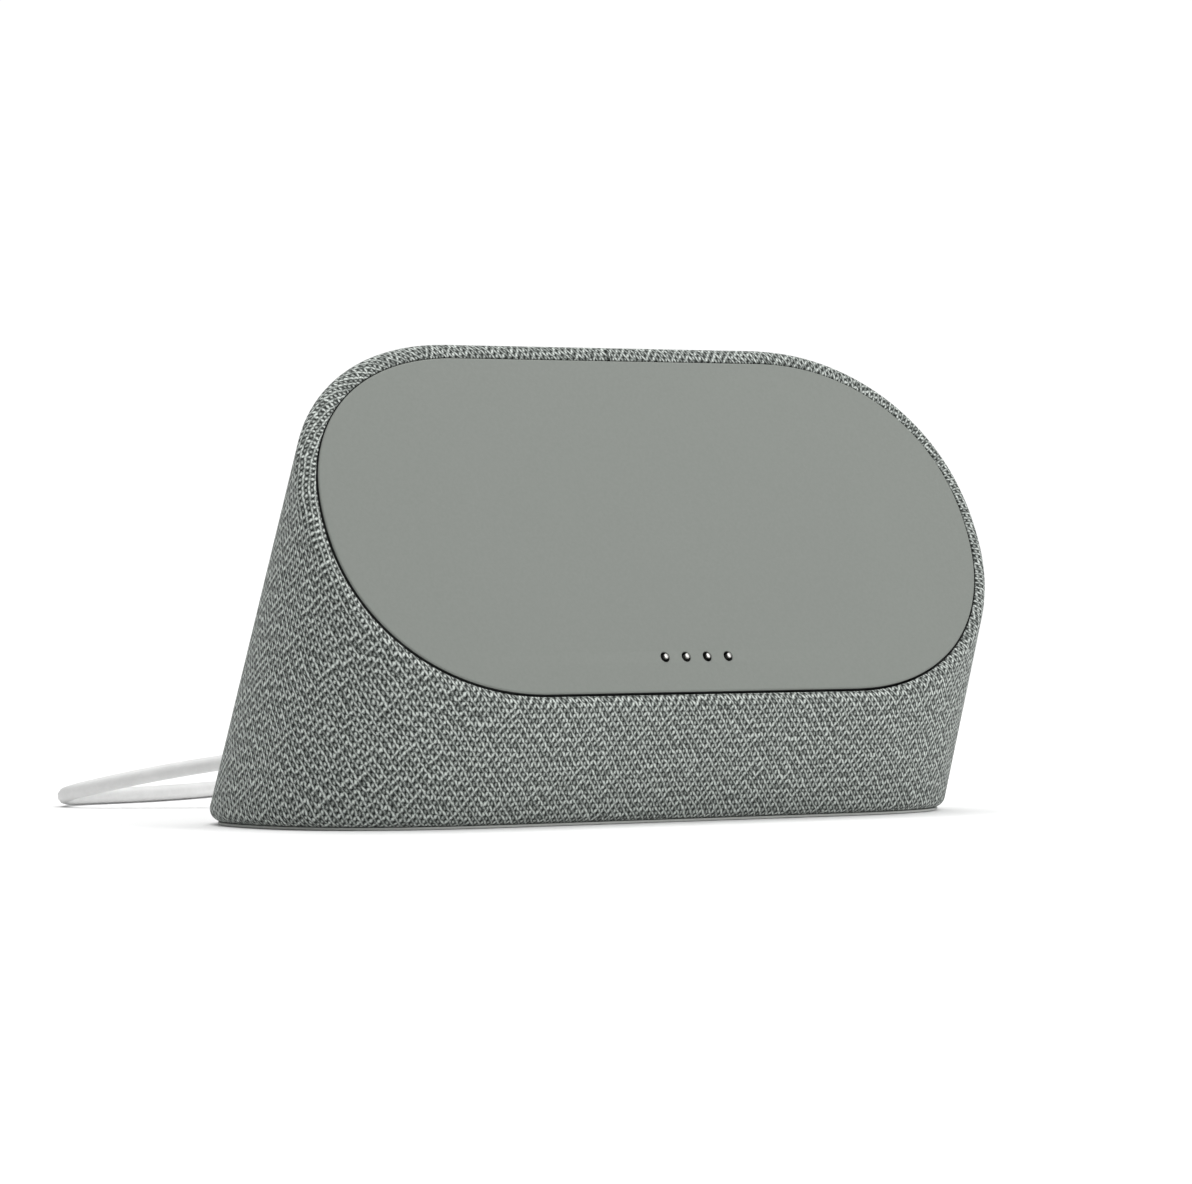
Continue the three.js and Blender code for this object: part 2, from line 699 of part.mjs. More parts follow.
// From the coil along the surface and up into the adapter's strain relief.
const adapterLeft = adapterCentre.x - adapterSize.x / 2;
const tailEndX = adapterLeft - gap - adapterReliefLength - gap;
const tailPoints = [
  [33.2, 89.6, 6],
  [27, 89.6, 4.8],
  [19.5, 88.2, 2.4],
  [12.5, 84.2, 1.7],
  [8, 77.5, 1.7],
  [7, 70.5, 2.4],
  [9.5, 64.8, 5],
  [13, 62.5, 7.2],
  [16.2, 62, 8],
  [tailEndX, adapterCentre.y, adapterExitHeight],
];

// A body turned about the direction the cord leaves it: [radius, distance] pairs along +Y or -X.
const alongPort = (profile) => turned(profile, 24).applyMatrix4(port.matrix);

function addPlug() {
  const plug = alongPort([
    [0, 25.5],
    [1.25, 25.5],
    [1.25, 16.8],
    [2.75, 16.8],
    [2.75, 26.7],
    [plugRadius, 26.7],
    [plugRadius, 40.6],
    [plugRadius - 0.6, 42],
    [0, 42],
  ]);
  addPiece(dock, "cord_plug", plug, whitePlastic);
  const relief = alongPort([[0, 42.3], [3.2, 42.3], [2.9, 44], [2, reliefEndY], [0, reliefEndY]]);
  addPiece(dock, "cord_relief", relief, whitePlastic);
}

function addCoil() {
  const halfWidth = (coilColumns * coilPitch) / 2;
  const top = coilBottom + coilRows * coilPitch + gap;
  const [inner, outer] = [coilRadius - halfWidth, coilRadius + halfWidth];
  const corner = 1.2;
  const ring = turned([
    [inner, coilBottom + corner],
    [inner + corner, coilBottom],
    [outer - corner, coilBottom],
    [outer, coilBottom + corner],
    [outer, top - corner],
    [outer - corner, top],
    [inner + corner, top],
    [inner, top - corner],
  ], 36);
  addPiece(dock, "cable_coil", ring.translate(coilCentre.x, coilCentre.y, 0), whitePlastic);

  // The tie: a flat strap closed round the turns, on the side away from the dock's middle.
  const strap = 0.45;
  const [near, far] = [inner - 0.9, outer + gap];
  const [low, high] = [coilBottom - 0.3, top + gap];
  const rectangle = (margin) => [
    new THREE.Vector2(near - margin, low - margin),
    new THREE.Vector2(far + margin, low - margin),
    new THREE.Vector2(far + margin, high + margin),
    new THREE.Vector2(near - margin, high + margin),
  ];
  const band = new THREE.Shape(rectangle(strap));
  band.holes.push(new THREE.Path(rectangle(0)));
  const tie = prism(band, -3, 3).rotateX(Math.PI / 2).translate(coilCentre.x, coilCentre.y, 0);
  addPiece(dock, "coil_tie", tie, darkPlastic);
}

function addAdapter() {
  const middle = adapterSize.z / 2;
  const shell = solid(
    new RoundedBoxGeometry(adapterSize.x, adapterSize.y, adapterSize.z, 2, 4)
      .translate(adapterCentre.x, adapterCentre.y, middle),
  );
  const bladeFrom = adapterCentre.x + adapterSize.x / 2 - 2;
  const blades = [-1, 1].map((side) =>
    block(
      bladeSize.length + 2, bladeSize.thickness, bladeSize.height,
      bladeFrom + (bladeSize.length + 2) / 2, adapterCentre.y + (side * bladeSpacing) / 2, middle,
    ),
  );
  addPiece(dock, "power_adapter", join(shell, ...blades), whitePlastic);
  const length = adapterReliefLength;
  const relief = turned([[0, 0], [3.1, 0], [2.8, 1.5], [2, length], [0, length]], 20)
    .rotateY(-Math.PI / 2)
    .translate(adapterLeft - gap, adapterCentre.y, adapterExitHeight);
  addPiece(dock, "adapter_relief", relief, whitePlastic);
}

function addCord() {
  addPlug();
  addPiece(dock, "cable_run", tube(smoothPath(runPoints), cordRadius, 44), whitePlastic);
  addCoil();
  addPiece(dock, "cable_tail", tube(smoothPath(tailPoints), cordRadius, 16), whitePlastic);
  addAdapter();
}

addEnclosure();
addFace();
addSpeaker();
addElectronics();
addBase();
addCord();

export default dock;
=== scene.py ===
"""The looks of a fabric-covered speaker and charging dock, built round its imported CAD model.

The object's lengths are millimetres in the CAD's frame, and become metres where a mesh, a curve or a relief
is made. The camera, the lights and the floor are in metres. +Z is up, +X is to the right seen from the front,
and +Y points to the back.
"""

import math

import bmesh
import bpy
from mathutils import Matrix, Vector
from mathutils.geometry import tessellate_polygon


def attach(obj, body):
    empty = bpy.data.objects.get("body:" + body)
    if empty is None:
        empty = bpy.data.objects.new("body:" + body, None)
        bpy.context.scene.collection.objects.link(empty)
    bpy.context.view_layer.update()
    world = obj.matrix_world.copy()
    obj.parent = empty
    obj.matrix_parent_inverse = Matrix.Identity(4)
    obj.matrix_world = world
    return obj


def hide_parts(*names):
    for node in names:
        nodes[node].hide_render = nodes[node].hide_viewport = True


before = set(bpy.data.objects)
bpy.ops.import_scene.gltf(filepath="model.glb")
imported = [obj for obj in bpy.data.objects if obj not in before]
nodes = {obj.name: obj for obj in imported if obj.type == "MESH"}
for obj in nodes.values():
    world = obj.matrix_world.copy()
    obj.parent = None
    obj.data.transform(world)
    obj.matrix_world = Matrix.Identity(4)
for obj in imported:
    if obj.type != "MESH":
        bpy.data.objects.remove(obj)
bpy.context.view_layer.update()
scene = bpy.context.scene

MM = 0.001
X = Vector((1, 0, 0))
Y = Vector((0, 1, 0))
Z = Vector((0, 0, 1))

# ------------------------------------ dimensions
# The main sizes are the CAD's. Edges, grooves, folds and other small shapes are finer here than in the CAD.
# A level is a height above the face plate's surface.

FACE = {"width": 161.3, "height": 72.7, "end": 42.7, "power": 2.15}
FACE_TILT = math.radians(25.46)
FACE_CENTRE = Vector((0, -19.185, 58.9))
FACE_NORMAL = Vector((0, -math.cos(FACE_TILT), math.sin(FACE_TILT)))
FACE_UP = Vector((0, math.sin(FACE_TILT), math.cos(FACE_TILT)))
FACE_THICKNESS = 1.6
FACE_EDGE = 0.45  # the radius of its rounded edge, a little crisper than in the CAD
FACE_PAINTED_SHADE_LEVEL = -0.3  # the plate's side is dark plastic below this, partly round the edge: painted shade for the gap round the plate

BASE = {"width": 169, "height": 62.8, "end": 42.5, "power": 2.42}
BASE_CENTRE = Vector((0, 4.015, 0))
HEM_HEIGHT = 0.6  # lower than in the CAD, so that only a thin strip of the foot shows
HEM_RADIUS = 2.5
HEM_INSET = 4.7  # how far the cover is tucked under
HEM_EDGE_TURN = 0.9  # how far its raw edge is turned up there

RIM_OFFSET = 3.75
RIM_DROP = 0.3
RIM_RADIUS = 2.1
RECESS_OFFSET = 0.4
RECESS_PULL = 0.28  # how much closer to the plate the cover lies along the top
RECESS_LEVEL = -2.0
RECESS_BEND_LEVEL = -1.4
LIP_RADIUS = 0.45  # where the cover turns down into the recess
SEAM_TURN = 0.55  # how far the raw edges are turned in at the back

FOOT_THICKNESS = 1.4
FOOT_INSET = 1.6
FOOT_EDGE = 0.5  # the height of the strip that shows
FOOT_STEP = 5.1  # the inset above that strip, clear of the tucked hem

PIN_COUNT = 4
PIN_SLOPE = -28.9
PIN_PITCH = 5.29
PIN_HOLE = 1.05
PIN_HOLE_BEVEL = 0.12
PIN_RADIUS = 0.625
PIN_TIP_RADIUS = 0.55
COLLAR_RADIUS = 0.95
COLLAR_BACK = -6.1
COLLAR_FRONT = -5.2

PORT_HEIGHT = 12
PORT_HOLE = 6.5
PORT_BINDING = 0.9  # how far the cover is turned in round the hole
BARREL_BORE = 1.25
BARREL_RADIUS = 2.75
BARREL_TIP = 16.8
GRIP_START = 26.7
GRIP_RADIUS = 4.2
GRIP_GROOVES = 5
GRIP_GROOVE_START = 30
GRIP_GROOVE_PITCH = 1.6
PLUG_END = 42
RELIEF_END = 60.3
RELIEF_SINK = 0.2  # how far a strain relief is sunk into what it grows out of
RELIEF_TIP_RADIUS = 2.0
PLUG_RELIEF_RADIUS = 3.2

CORD_RADIUS = 1.65
COIL_CENTRE = (50, 115.2)
COIL_TURNS = 10.5
COIL_COLUMNS = 6
COIL_RADIUS = 27.3  # of the outermost turn
COIL_PITCH = 3.4
COIL_HEIGHT = 2.6  # of the middle of the bottom row

ADAPTER_LOW = Vector((31, 40, 0))
ADAPTER_HIGH = Vector((66, 84, 28))
ADAPTER_CENTRE = (ADAPTER_LOW + ADAPTER_HIGH) / 2
ADAPTER_CORNER = 4
ADAPTER_GROOVE = 27  # from the cord's end to the parting groove
ADAPTER_EXIT_HEIGHT = 8
ADAPTER_RELIEF_RADIUS = 3.1
ADAPTER_RELIEF_LENGTH = 12.5
BLADE_SPACING = 12.7
BLADE_THICKNESS = 1.5
BLADE_HALF_HEIGHT = 3.1
BLADE_TIP = 83
BLADE_BEVEL = 1.4
BLADE_HOLE = 1.6
BLADE_HOLE_PLACE = 79

TIE_LOW = (57.9, 0.6)  # the corners of its opening, across and up
TIE_HIGH = (79.1, 8.1)
TIE_CORNER = 2.4
TIE_THICKNESS = 0.42
TIE_HALF_WIDTH = 2.9
FLAP_THICKNESS = 0.32

# ------------------------------------ camera, in metres

camera = bpy.data.objects.new("camera", bpy.data.cameras.new("camera"))
scene.collection.objects.link(camera)
scene.camera = camera
camera.data.sensor_width = 36
camera.data.lens = 199.3
camera.location = (-0.8108, -1.0496, 0.0585)
camera_target = Vector((-0.01556, -0.019185, 0.04552))
camera.rotation_mode = "QUATERNION"
camera.rotation_quaternion = (camera_target - camera.location).to_track_quat("-Z", "Y")
camera.data.clip_end = 50

# ------------------------------------ small helpers


def smoothstep(x):
    x = min(max(x, 0), 1)
    return x * x * (3 - 2 * x)


def pill_frame(pill, angle, side, end):
    """A point of a quarter of a pill's outline and the outward normal there.

    The angle runs from 0, at the tip of the end, to a right angle, where the straight part begins. side and
    end are 1 or -1 and choose the quarter.
    """
    half = pill["height"] / 2
    straight = pill["width"] / 2 - pill["end"]
    across = max(math.cos(angle), 0) ** (2 / pill["power"])
    up = max(math.sin(angle), 0) ** (2 / pill["power"])
    normal = Vector((
        end * across ** (pill["power"] - 1) / pill["end"],
        side * up ** (pill["power"] - 1) / half,
    )).normalized()
    return Vector((end * (straight + pill["end"] * across), side * half * up)), normal


def pill_outline(pill, offset, steps=48):
    """The outline moved outwards, anticlockwise, with more steps where it is round."""
    quarters = [(1, 1, False), (1, -1, True), (-1, -1, False), (-1, 1, True)]
    outline = []
    for side, end, backwards in quarters:
        for step in range(steps):
            fraction = step / steps
            angle = (1 - fraction if backwards else fraction) * math.pi / 2
            point, normal = pill_frame(pill, angle, side, end)
            outline.append(point + normal * offset)
        if not backwards:
            point, normal = pill_frame(pill, math.pi / 2, side, end)
            outline.append(point + normal * offset)
    return outline


def on_face(point, level):
    """A point given by its place in the face plate's plane and its height above the plate."""
    return FACE_CENTRE + X * point[0] + FACE_UP * point[1] + FACE_NORMAL * level


def circle(radius, centre=(0, 0), steps=32):
    turns = [2 * math.pi * step / steps for step in range(steps)]
    return [Vector((centre[0] + radius * math.cos(a), centre[1] + radius * math.sin(a))) for a in turns]


class Shape:
    """Collects the points and faces of one mesh."""

    def __init__(self):
        self.points = []
        self.faces = []

    def ring(self, points):
        """Adds points and returns their numbers."""
        first = len(self.points)
        self.points += [Vector(p) for p in points]
        return list(range(first, len(self.points)))

    def skin(self, rings):
        """Faces between each ring and the next."""
        for low, high in zip(rings, rings[1:]):
            count = len(low)
            for i in range(count):
                j = (i + 1) % count
                self.faces.append((low[i], low[j], high[j], high[i]))

    def cap(self, *rings):
        """Fills a ring. Further rings inside it stay open as holes."""
        flat = [index for ring in rings for index in ring]
        loops = [[self.points[index] for index in ring] for ring in rings]
        self.faces += [tuple(flat[i] for i in triangle) for triangle in tessellate_polygon(loops)]

    def build(self, name, material, sharp=35, outwards=True):
        mesh = bpy.data.meshes.new(name)
        mesh.from_pydata([p * MM for p in self.points], [], self.faces)
        if outwards:
            bm = bmesh.new()
            bm.from_mesh(mesh)
            bmesh.ops.recalc_face_normals(bm, faces=bm.faces)
            bm.to_mesh(mesh)
            bm.free()
        mesh.shade_smooth()
        mesh.set_sharp_from_angle(angle=math.radians(sharp))
        mesh.materials.append(material)
        obj = bpy.data.objects.new(name, mesh)
        scene.collection.objects.link(obj)
        return obj


def turned(name, profile, start, axis, material, steps=48):
    """A body turned round an axis. The profile is (radius, distance from the start) pairs."""
    across = axis.orthogonal().normalized()
    other = axis.cross(across)
    shape = Shape()
    rings = [
        shape.ring(start + axis * distance + across * p.x + other * p.y for p in circle(radius, steps=steps))
        for radius, distance in profile
    ]
    shape.skin(rings)
    shape.cap(rings[0])
    shape.cap(rings[-1])
    return shape.build(name, material)


def place(obj, body, slot, *replaced):
    """Puts a piece on its body and hides the CAD nodes that it stands in for. The slot is not used."""
    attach(obj, body)
    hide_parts(*replaced)
    return obj


# ------------------------------------ node trees


class Wire:
    """A number in a node tree. Sums and products of wires add the nodes that work them out."""

    def __init__(self, tree, socket):
        self.tree = tree
        self.socket = socket

    def math(self, operation, *others):
        node = self.tree.nodes.new("ShaderNodeMath")
        node.operation = operation
        for socket, value in zip(node.inputs, (self, *others)):
            if isinstance(value, Wire):
                self.tree.links.new(value.socket, socket)
            else:
                socket.default_value = value
        return Wire(self.tree, node.outputs[0])

    def __add__(self, other):
        return self.math("ADD", other)

    def __sub__(self, other):
        return self.math("SUBTRACT", other)

    def __mul__(self, other):
        return self.math("MULTIPLY", other)

    def floor(self):
        return self.math("FLOOR")

    def cosine(self):
        return self.math("COSINE")

    def power(self, exponent):
        return self.math("POWER", exponent)

    def larger(self, other):
        return self.math("MAXIMUM", other)

    def ramp(self, low, high, to_low=0.0, to_high=1.0):
        """Goes smoothly from one value to another between two limits."""
        node = self.tree.nodes.new("ShaderNodeMapRange")
        node.interpolation_type = "SMOOTHSTEP"
        self.tree.links.new(self.socket, node.inputs["Value"])
        node.inputs["From Min"].default_value = low
        node.inputs["From Max"].default_value = high
        node.inputs["To Min"].default_value = to_low
        node.inputs["To Max"].default_value = to_high
        return Wire(self.tree, node.outputs["Result"])


class Surface:
    """A Principled material, with short calls for the nodes that feed it."""

    def __init__(self, name, **constants):
        self.material = bpy.data.materials.new(name)
        self.material.use_nodes = True
        self.tree = self.material.node_tree
        self.shader = self.tree.nodes["Principled BSDF"]
        for socket, value in constants.items():
            self.shader.inputs[socket.replace("_", " ")].default_value = value
        coordinates = self.tree.nodes.new("ShaderNodeTexCoord")
        self.place = coordinates.outputs["Object"]

    def split(self, vector):
        node = self.tree.nodes.new("ShaderNodeSeparateXYZ")
        self.tree.links.new(vector, node.inputs[0])
        return [Wire(self.tree, output) for output in node.outputs]

    def join(self, x, y):
        node = self.tree.nodes.new("ShaderNodeCombineXYZ")
        self.tree.links.new(x.socket, node.inputs["X"])
        self.tree.links.new(y.socket, node.inputs["Y"])
        return node.outputs[0]

    def noise(self, scale, detail=2.0, roughness=0.5, vector=None, stretch=(1, 1, 1)):
        """Noise from 0 to 1 whose grains are about 1/scale across, in the vector's units."""
        stretched = self.tree.nodes.new("ShaderNodeVectorMath")
        stretched.operation = "MULTIPLY"
        self.tree.links.new(vector or self.place, stretched.inputs[0])
        stretched.inputs[1].default_value = stretch
        node = self.tree.nodes.new("ShaderNodeTexNoise")
        self.tree.links.new(stretched.outputs[0], node.inputs["Vector"])
        node.inputs["Scale"].default_value = scale
        node.inputs["Detail"].default_value = detail
        node.inputs["Roughness"].default_value = roughness
        return Wire(self.tree, node.outputs["Fac"])

    def random(self, x, y):
        """A random number for each whole pair of numbers."""
        node = self.tree.nodes.new("ShaderNodeTexWhiteNoise")
        node.noise_dimensions = "2D"
        self.tree.links.new(self.join(x, y), node.inputs["Vector"])
        return Wire(self.tree, node.outputs["Value"])

    def colour(self, factor, dark, light):
        """Mixes two colours, each of which is a constant or the result of another mix."""
        node = self.tree.nodes.new("ShaderNodeMix")
        node.data_type = "RGBA"
        self.tree.links.new(factor.socket, node.inputs["Factor"])
        for socket, value in zip([s for s in node.inputs if s.type == "RGBA"], (dark, light)):
            if isinstance(value, bpy.types.NodeSocket):
                self.tree.links.new(value, socket)
            else:
                socket.default_value = (*value, 1)
        return next(s for s in node.outputs if s.type == "RGBA")

    def feed(self, socket, value):
        source = value.socket if isinstance(value, Wire) else value
        self.tree.links.new(source, self.shader.inputs[socket])

    def bump(self, height, relief):
        """Makes a height of 1 stand out by the relief, in millimetres."""
        node = self.tree.nodes.new("ShaderNodeBump")
        node.inputs["Strength"].default_value = 1
        node.inputs["Distance"].default_value = relief * MM
        self.tree.links.new(height.socket, node.inputs["Height"])
        self.tree.links.new(node.outputs["Normal"], self.shader.inputs["Normal"])


# ------------------------------------ materials


def grained(name, dark, light, roughness, grain=1800, relief=0.04, patches=60):
    """Moulded plastic, rubber or ferrite: fine grain, faint patches and rubbed spots."""
    surface = Surface(name)
    fine = surface.noise(grain, 2, 0.6)
    patch = surface.noise(patches, 3, 0.5)
    tone = fine * 0.45 + patch * 0.55
    surface.feed("Base Color", surface.colour(tone.ramp(0.3, 0.7), dark, light))
    surface.feed("Roughness", patch.ramp(0.35, 0.65, roughness - 0.05, roughness + 0.05))
    surface.bump(fine, relief)
    return surface.material


def metal(name, dark, light, roughness, stretch=(1, 1, 1), grain=900):
    """Metal with fine drawn or cast marks and duller patches."""
    surface = Surface(name, Metallic=1.0)
    marks = surface.noise(grain, 3, 0.6, stretch=stretch)
    patch = surface.noise(120, 3, 0.5)
    surface.feed("Base Color", surface.colour((marks * 0.6 + patch * 0.4).ramp(0.3, 0.7), dark, light))
    surface.feed("Roughness", patch.ramp(0.3, 0.7, roughness - 0.08, roughness + 0.1))
    surface.bump(marks, 0.02)
    return surface.material


def fibrous(name, dark, light, pores=1400):
    """Foam or pressed paper: rough all over, with pores."""
    surface = Surface(name, Roughness=0.95)
    pore = surface.noise(pores, 4, 0.7)
    surface.feed("Base Color", surface.colour(pore.ramp(0.35, 0.65), dark, light))
    surface.bump(pore, 0.1)
    return surface.material


def board_material():
    """Solder mask over copper tracks, which show as paler lines."""
    surface = Surface("circuit_board", Roughness=0.35)
    x, y, _ = surface.split(surface.place)
    track = (x * 2500.0 + surface.noise(90, 1) * 14.0).cosine().ramp(0.55, 0.8)
    surface.feed("Base Color", surface.colour(track, (0.008, 0.045, 0.02), (0.02, 0.10, 0.045)))
    surface.bump(track + (y * 900.0).cosine() * 0.1, 0.03)
    return surface.material


# How far apart the cloth's stitches lie. Strands run both ways on the slant and leave a hole between them.
STITCH_WIDTH = 1.6
STITCH_HEIGHT = 2.04
STITCH_LEAN = 0.045  # how far a stitch shifts sideways in a millimetre of height, in stitches
CLOTH_RELIEF = 0.3
YARN_DARK = (0.058, 0.067, 0.061)
YARN_PALE = (0.68, 0.726, 0.69)
# Painted shade, nearly black, for the holes between strands.
HOLE_SHADE = (0.007, 0.008, 0.0075)
# Painted shade, nearly black, for the rows down in the recess and under the hem.
EDGE_ROW_PAINTED_SHADE = (0.008, 0.009, 0.0085)


def cloth_material():
    """Open cloth of flecked strands. The cloth attribute holds the place in the flat cloth, in millimetres.

    Its third part is painted shade: how far the rows down in the gap round the plate and under the hem are
    darkened.
    """
    surface = Surface("fabric", Roughness=0.95, Sheen_Weight=0.12, Sheen_Roughness=0.5)
    surface.shader.inputs["Specular IOR Level"].default_value = 0.15
    attribute = surface.tree.nodes.new("ShaderNodeAttribute")
    attribute.attribute_name = "cloth"
    cloth = attribute.outputs["Vector"]
    u, v, painted_shade = surface.split(cloth)

    # The strands wander a little, so that the stitches differ.
    drift_u = surface.noise(0.16, 2, vector=cloth) * 0.7 + surface.noise(0.8, 2, vector=cloth) * 0.32
    drift_v = surface.noise(0.14, 2, vector=cloth, stretch=(1, 1.3, 1)) * 0.5
    drift_v = drift_v + surface.noise(0.9, 2, vector=cloth, stretch=(1.2, 1, 1)) * 0.30
    s = u * (1 / STITCH_WIDTH) + v * STITCH_LEAN + drift_u
    t = v * (1 / STITCH_HEIGHT) + drift_v
    rising = s - t
    falling = s + t
    rise = (rising + 0.5).floor()
    fall = (falling + 0.5).floor()
    rise_wave = (rising * (2 * math.pi)).cosine()
    fall_wave = (falling * (2 * math.pi)).cosine()
    rise_ridge = rise_wave * 0.5 + 0.5
    fall_ridge = fall_wave * 0.5 + 0.5

    # Each crossing has its own heights, so now one strand and now the other lies on top. Each free stretch
    # between two crossings has its own tone, and where one strand leaves a crossing pale the other is dark.
    rise_lift = surface.random(rise, fall)
    fall_lift = surface.random(rise + 57.0, fall + 31.0)
    rise_tone = surface.random(rise + 11.0, falling.floor() + 5.0)
    fall_tone = surface.random(rising.floor() + 11.0, fall + 5.0) * -1.0 + 1.0
    rise_top = rise_ridge * (rise_lift * 0.56 + 0.60)
    fall_top = fall_ridge * (fall_lift * 0.60 + 0.45)
    height = rise_top.larger(fall_top)
    rise_shows = (rise_top - fall_top).ramp(-0.05, 0.05)
    hole = (rise_ridge * -1.0 + 1.0) * (fall_ridge * -1.0 + 1.0)

    # Fibres along each strand and the twist of its plies, pale on a darker ground. Each strand's crown has a
    # painted highlight, brightest where it stands free between two crossings, with painted shade at the
    # crossings, and the holes are painted nearly black as shade.
    slanted = surface.join(rising, falling)
    rise_fibre = surface.noise(1.0, 2, 0.6, vector=slanted, stretch=(11, 3.4, 1))
    fall_fibre = surface.noise(1.0, 2, 0.6, vector=slanted, stretch=(3.4, 11, 1))
    fibre = fall_fibre + (rise_fibre - fall_fibre) * rise_shows
    # Painted highlight along each strand's crown, times its own random tone, lighter between crossings.
    rise_highlight_and_tone = rise_ridge.power(2.6) * (rise_tone * 1.25 + 0.28) * (fall_wave * -0.34 + 1.0)
    fall_highlight_and_tone = fall_ridge.power(2.6) * (fall_tone * 1.25 + 0.04) * (rise_wave * -0.36 + 1.0)
    pale = rise_highlight_and_tone.larger(fall_highlight_and_tone)
    ply = (falling * (4 * math.pi)).cosine()
    # Painted shade: darker at the crossings and holes, lighter along the free stretches between them.
    crossing_and_hole_shade = (s * (4 * math.pi)).cosine()
    tone = fall_tone + (rise_tone - fall_tone) * rise_shows
    shade = fibre * 1.12 + pale * 0.34 + tone * 0.05 + ply * 0.12 - crossing_and_hole_shade * 0.05
    shade = shade + surface.noise(0.3, 2, vector=cloth) * 0.06
    yarn = surface.colour(shade.ramp(0.50, 1.31), YARN_DARK, YARN_PALE)
    # Painted shade: the holes between strands turn nearly black.
    open_cloth = surface.colour(hole.ramp(0.50, 1.02), yarn, HOLE_SHADE)
    # Painted shade darkens the rows down in the recess round the plate and under the hem.
    surface.feed("Base Color", surface.colour(painted_shade, open_cloth, EDGE_ROW_PAINTED_SHADE))
    surface.bump(height + fibre * 0.2, CLOTH_RELIEF)
    return surface.material


def jacket_material():
    """The cord's soft jacket, pale, with a faint ripple and handling marks."""
    surface = Surface("cord_jacket", Roughness=0.42)
    ripple = surface.noise(220, 2, 0.5)
    marks = surface.noise(900, 3, 0.6)
    shade = (ripple * 0.5 + marks * 0.5).ramp(0.3, 0.7)
    surface.feed("Base Color", surface.colour(shade, (0.69, 0.69, 0.685), (0.75, 0.75, 0.745)))
    surface.feed("Roughness", marks.ramp(0.3, 0.7, 0.36, 0.48))
    surface.bump(ripple, 0.02)
    return surface.material


def strap_material():
    """Hook-and-loop strap: rows of tiny loops."""
    surface = Surface("tie_strap", Roughness=0.95, Sheen_Weight=0.3)
    x, y, z = surface.split(surface.place)
    rows = (y * 9000.0).cosine() * ((x + z) * 9000.0).cosine()
    loops = surface.noise(2600, 3, 0.7)
    shade = (rows * 0.25 + loops).ramp(0.3, 0.8)
    surface.feed("Base Color", surface.colour(shade, (0.42, 0.42, 0.415), (0.74, 0.74, 0.735)))
    surface.bump(rows * 0.3 + loops, 0.2)
    return surface.material


materials = {
    "fabric": cloth_material(),
    "soft_touch": grained(
        "soft_touch", (0.192, 0.207, 0.189), (0.210, 0.226, 0.207), 0.72, grain=1500, relief=0.02, patches=30,
    ),
    "silicone": grained("silicone", (0.46, 0.475, 0.455), (0.52, 0.535, 0.515), 0.75),
    "dark_plastic": grained("dark_plastic", (0.016, 0.017, 0.017), (0.028, 0.03, 0.029), 0.6),
    "grey_plastic": grained("grey_plastic", (0.13, 0.14, 0.13), (0.16, 0.17, 0.16), 0.55),
    "white_plastic": grained(
        "white_plastic", (0.76, 0.76, 0.755), (0.82, 0.82, 0.815), 0.38, grain=1200, relief=0.015,
    ),
    "cord_jacket": jacket_material(),
    "tie_strap": strap_material(),
    "circuit_board": board_material(),
    "copper": metal("copper", (0.60, 0.26, 0.13), (0.80, 0.42, 0.24), 0.35),
    "contact_metal": metal("contact_metal", (0.40, 0.395, 0.38), (0.50, 0.495, 0.48), 0.32),
    "steel": metal("steel", (0.33, 0.34, 0.35), (0.50, 0.51, 0.52), 0.35, stretch=(1, 1, 12)),
    "nickel": metal("nickel", (0.55, 0.56, 0.57), (0.70, 0.70, 0.71), 0.25),
    "cast_steel": metal("cast_steel", (0.10, 0.11, 0.115), (0.20, 0.21, 0.215), 0.6, grain=500),
    "ferrite": grained("ferrite", (0.03, 0.032, 0.035), (0.055, 0.057, 0.06), 0.7, grain=700),
    "foam": fibrous("foam", (0.02, 0.02, 0.02), (0.065, 0.065, 0.065)),
    "butyl": grained("butyl", (0.009, 0.009, 0.009), (0.016, 0.016, 0.016), 0.7),
    "paper_cone": fibrous("paper_cone", (0.014, 0.015, 0.016), (0.04, 0.042, 0.045), pores=700),
}

# The CAD nodes that keep their own meshes, by parts of their names.
nodes_of_slot = {
    "dark_plastic": [
        "housing_shell", "face_carrier", "pin_block", "speaker_basket", "power_jack", "base_plate",
    ],
    "grey_plastic": ["port_bezel"],
    "steel": ["_screw", "yoke", "pin_spring", "speaker_top_plate"],
    "nickel": ["docking_magnet", "board_shield"],
    "circuit_board": ["pin_board", "main_board"],
    "copper": ["pin_flex", "voice_coil", "speaker_wire"],
    "foam": ["speaker_gasket", "speaker_spider"],
    "butyl": ["speaker_surround"],
    "paper_cone": ["speaker_cone", "speaker_dust_cap"],
    "ferrite": ["speaker_magnet"],
    "cast_steel": ["ballast"],
}
for slot, names in nodes_of_slot.items():
    for node_name, node in nodes.items():
        if any(name in node_name for name in names):
            for material_slot in node.material_slots:
                material_slot.material = materials[slot]

# ------------------------------------ cord

# Points of the cord's middle line: from the plug to the coil, and from the coil into the adapter's relief.
RUN = [
    (0, 54, 12), (0, 60.6, 12), (0, 62.6, 12), (-0.9, 66, 12), (-4, 71.5, 12), (-11, 77, 11.7),
    (-20, 80.8, 10.9), (-34, 85.3, 9.2), (-45, 90.3, 7.3), (-53.5, 96.3, 5.2), (-58.6, 103.6, 3.1),
    (-55.5, 110.2, 1.9), (-45, 113.6, 1.7), (-32, 116.5, 1.7), (-18, 122.6, 1.7), (-5, 130, 1.7),
    (8, 136.8, 1.7), (21, 141.2, 1.9), (36, 142.5, 2.6),
]
TAIL = [
    (33.2, 89.6, 6), (27, 89.6, 4.8), (19.5, 88.2, 2.4), (12.5, 84.2, 1.7), (8, 77.5, 1.7), (7, 70.5, 2.4),
    (9.5, 64.8, 5), (13, 62.5, 7.2), (16.2, 62, 8), (18.4, 62, 8), (24, 62, 8),
]
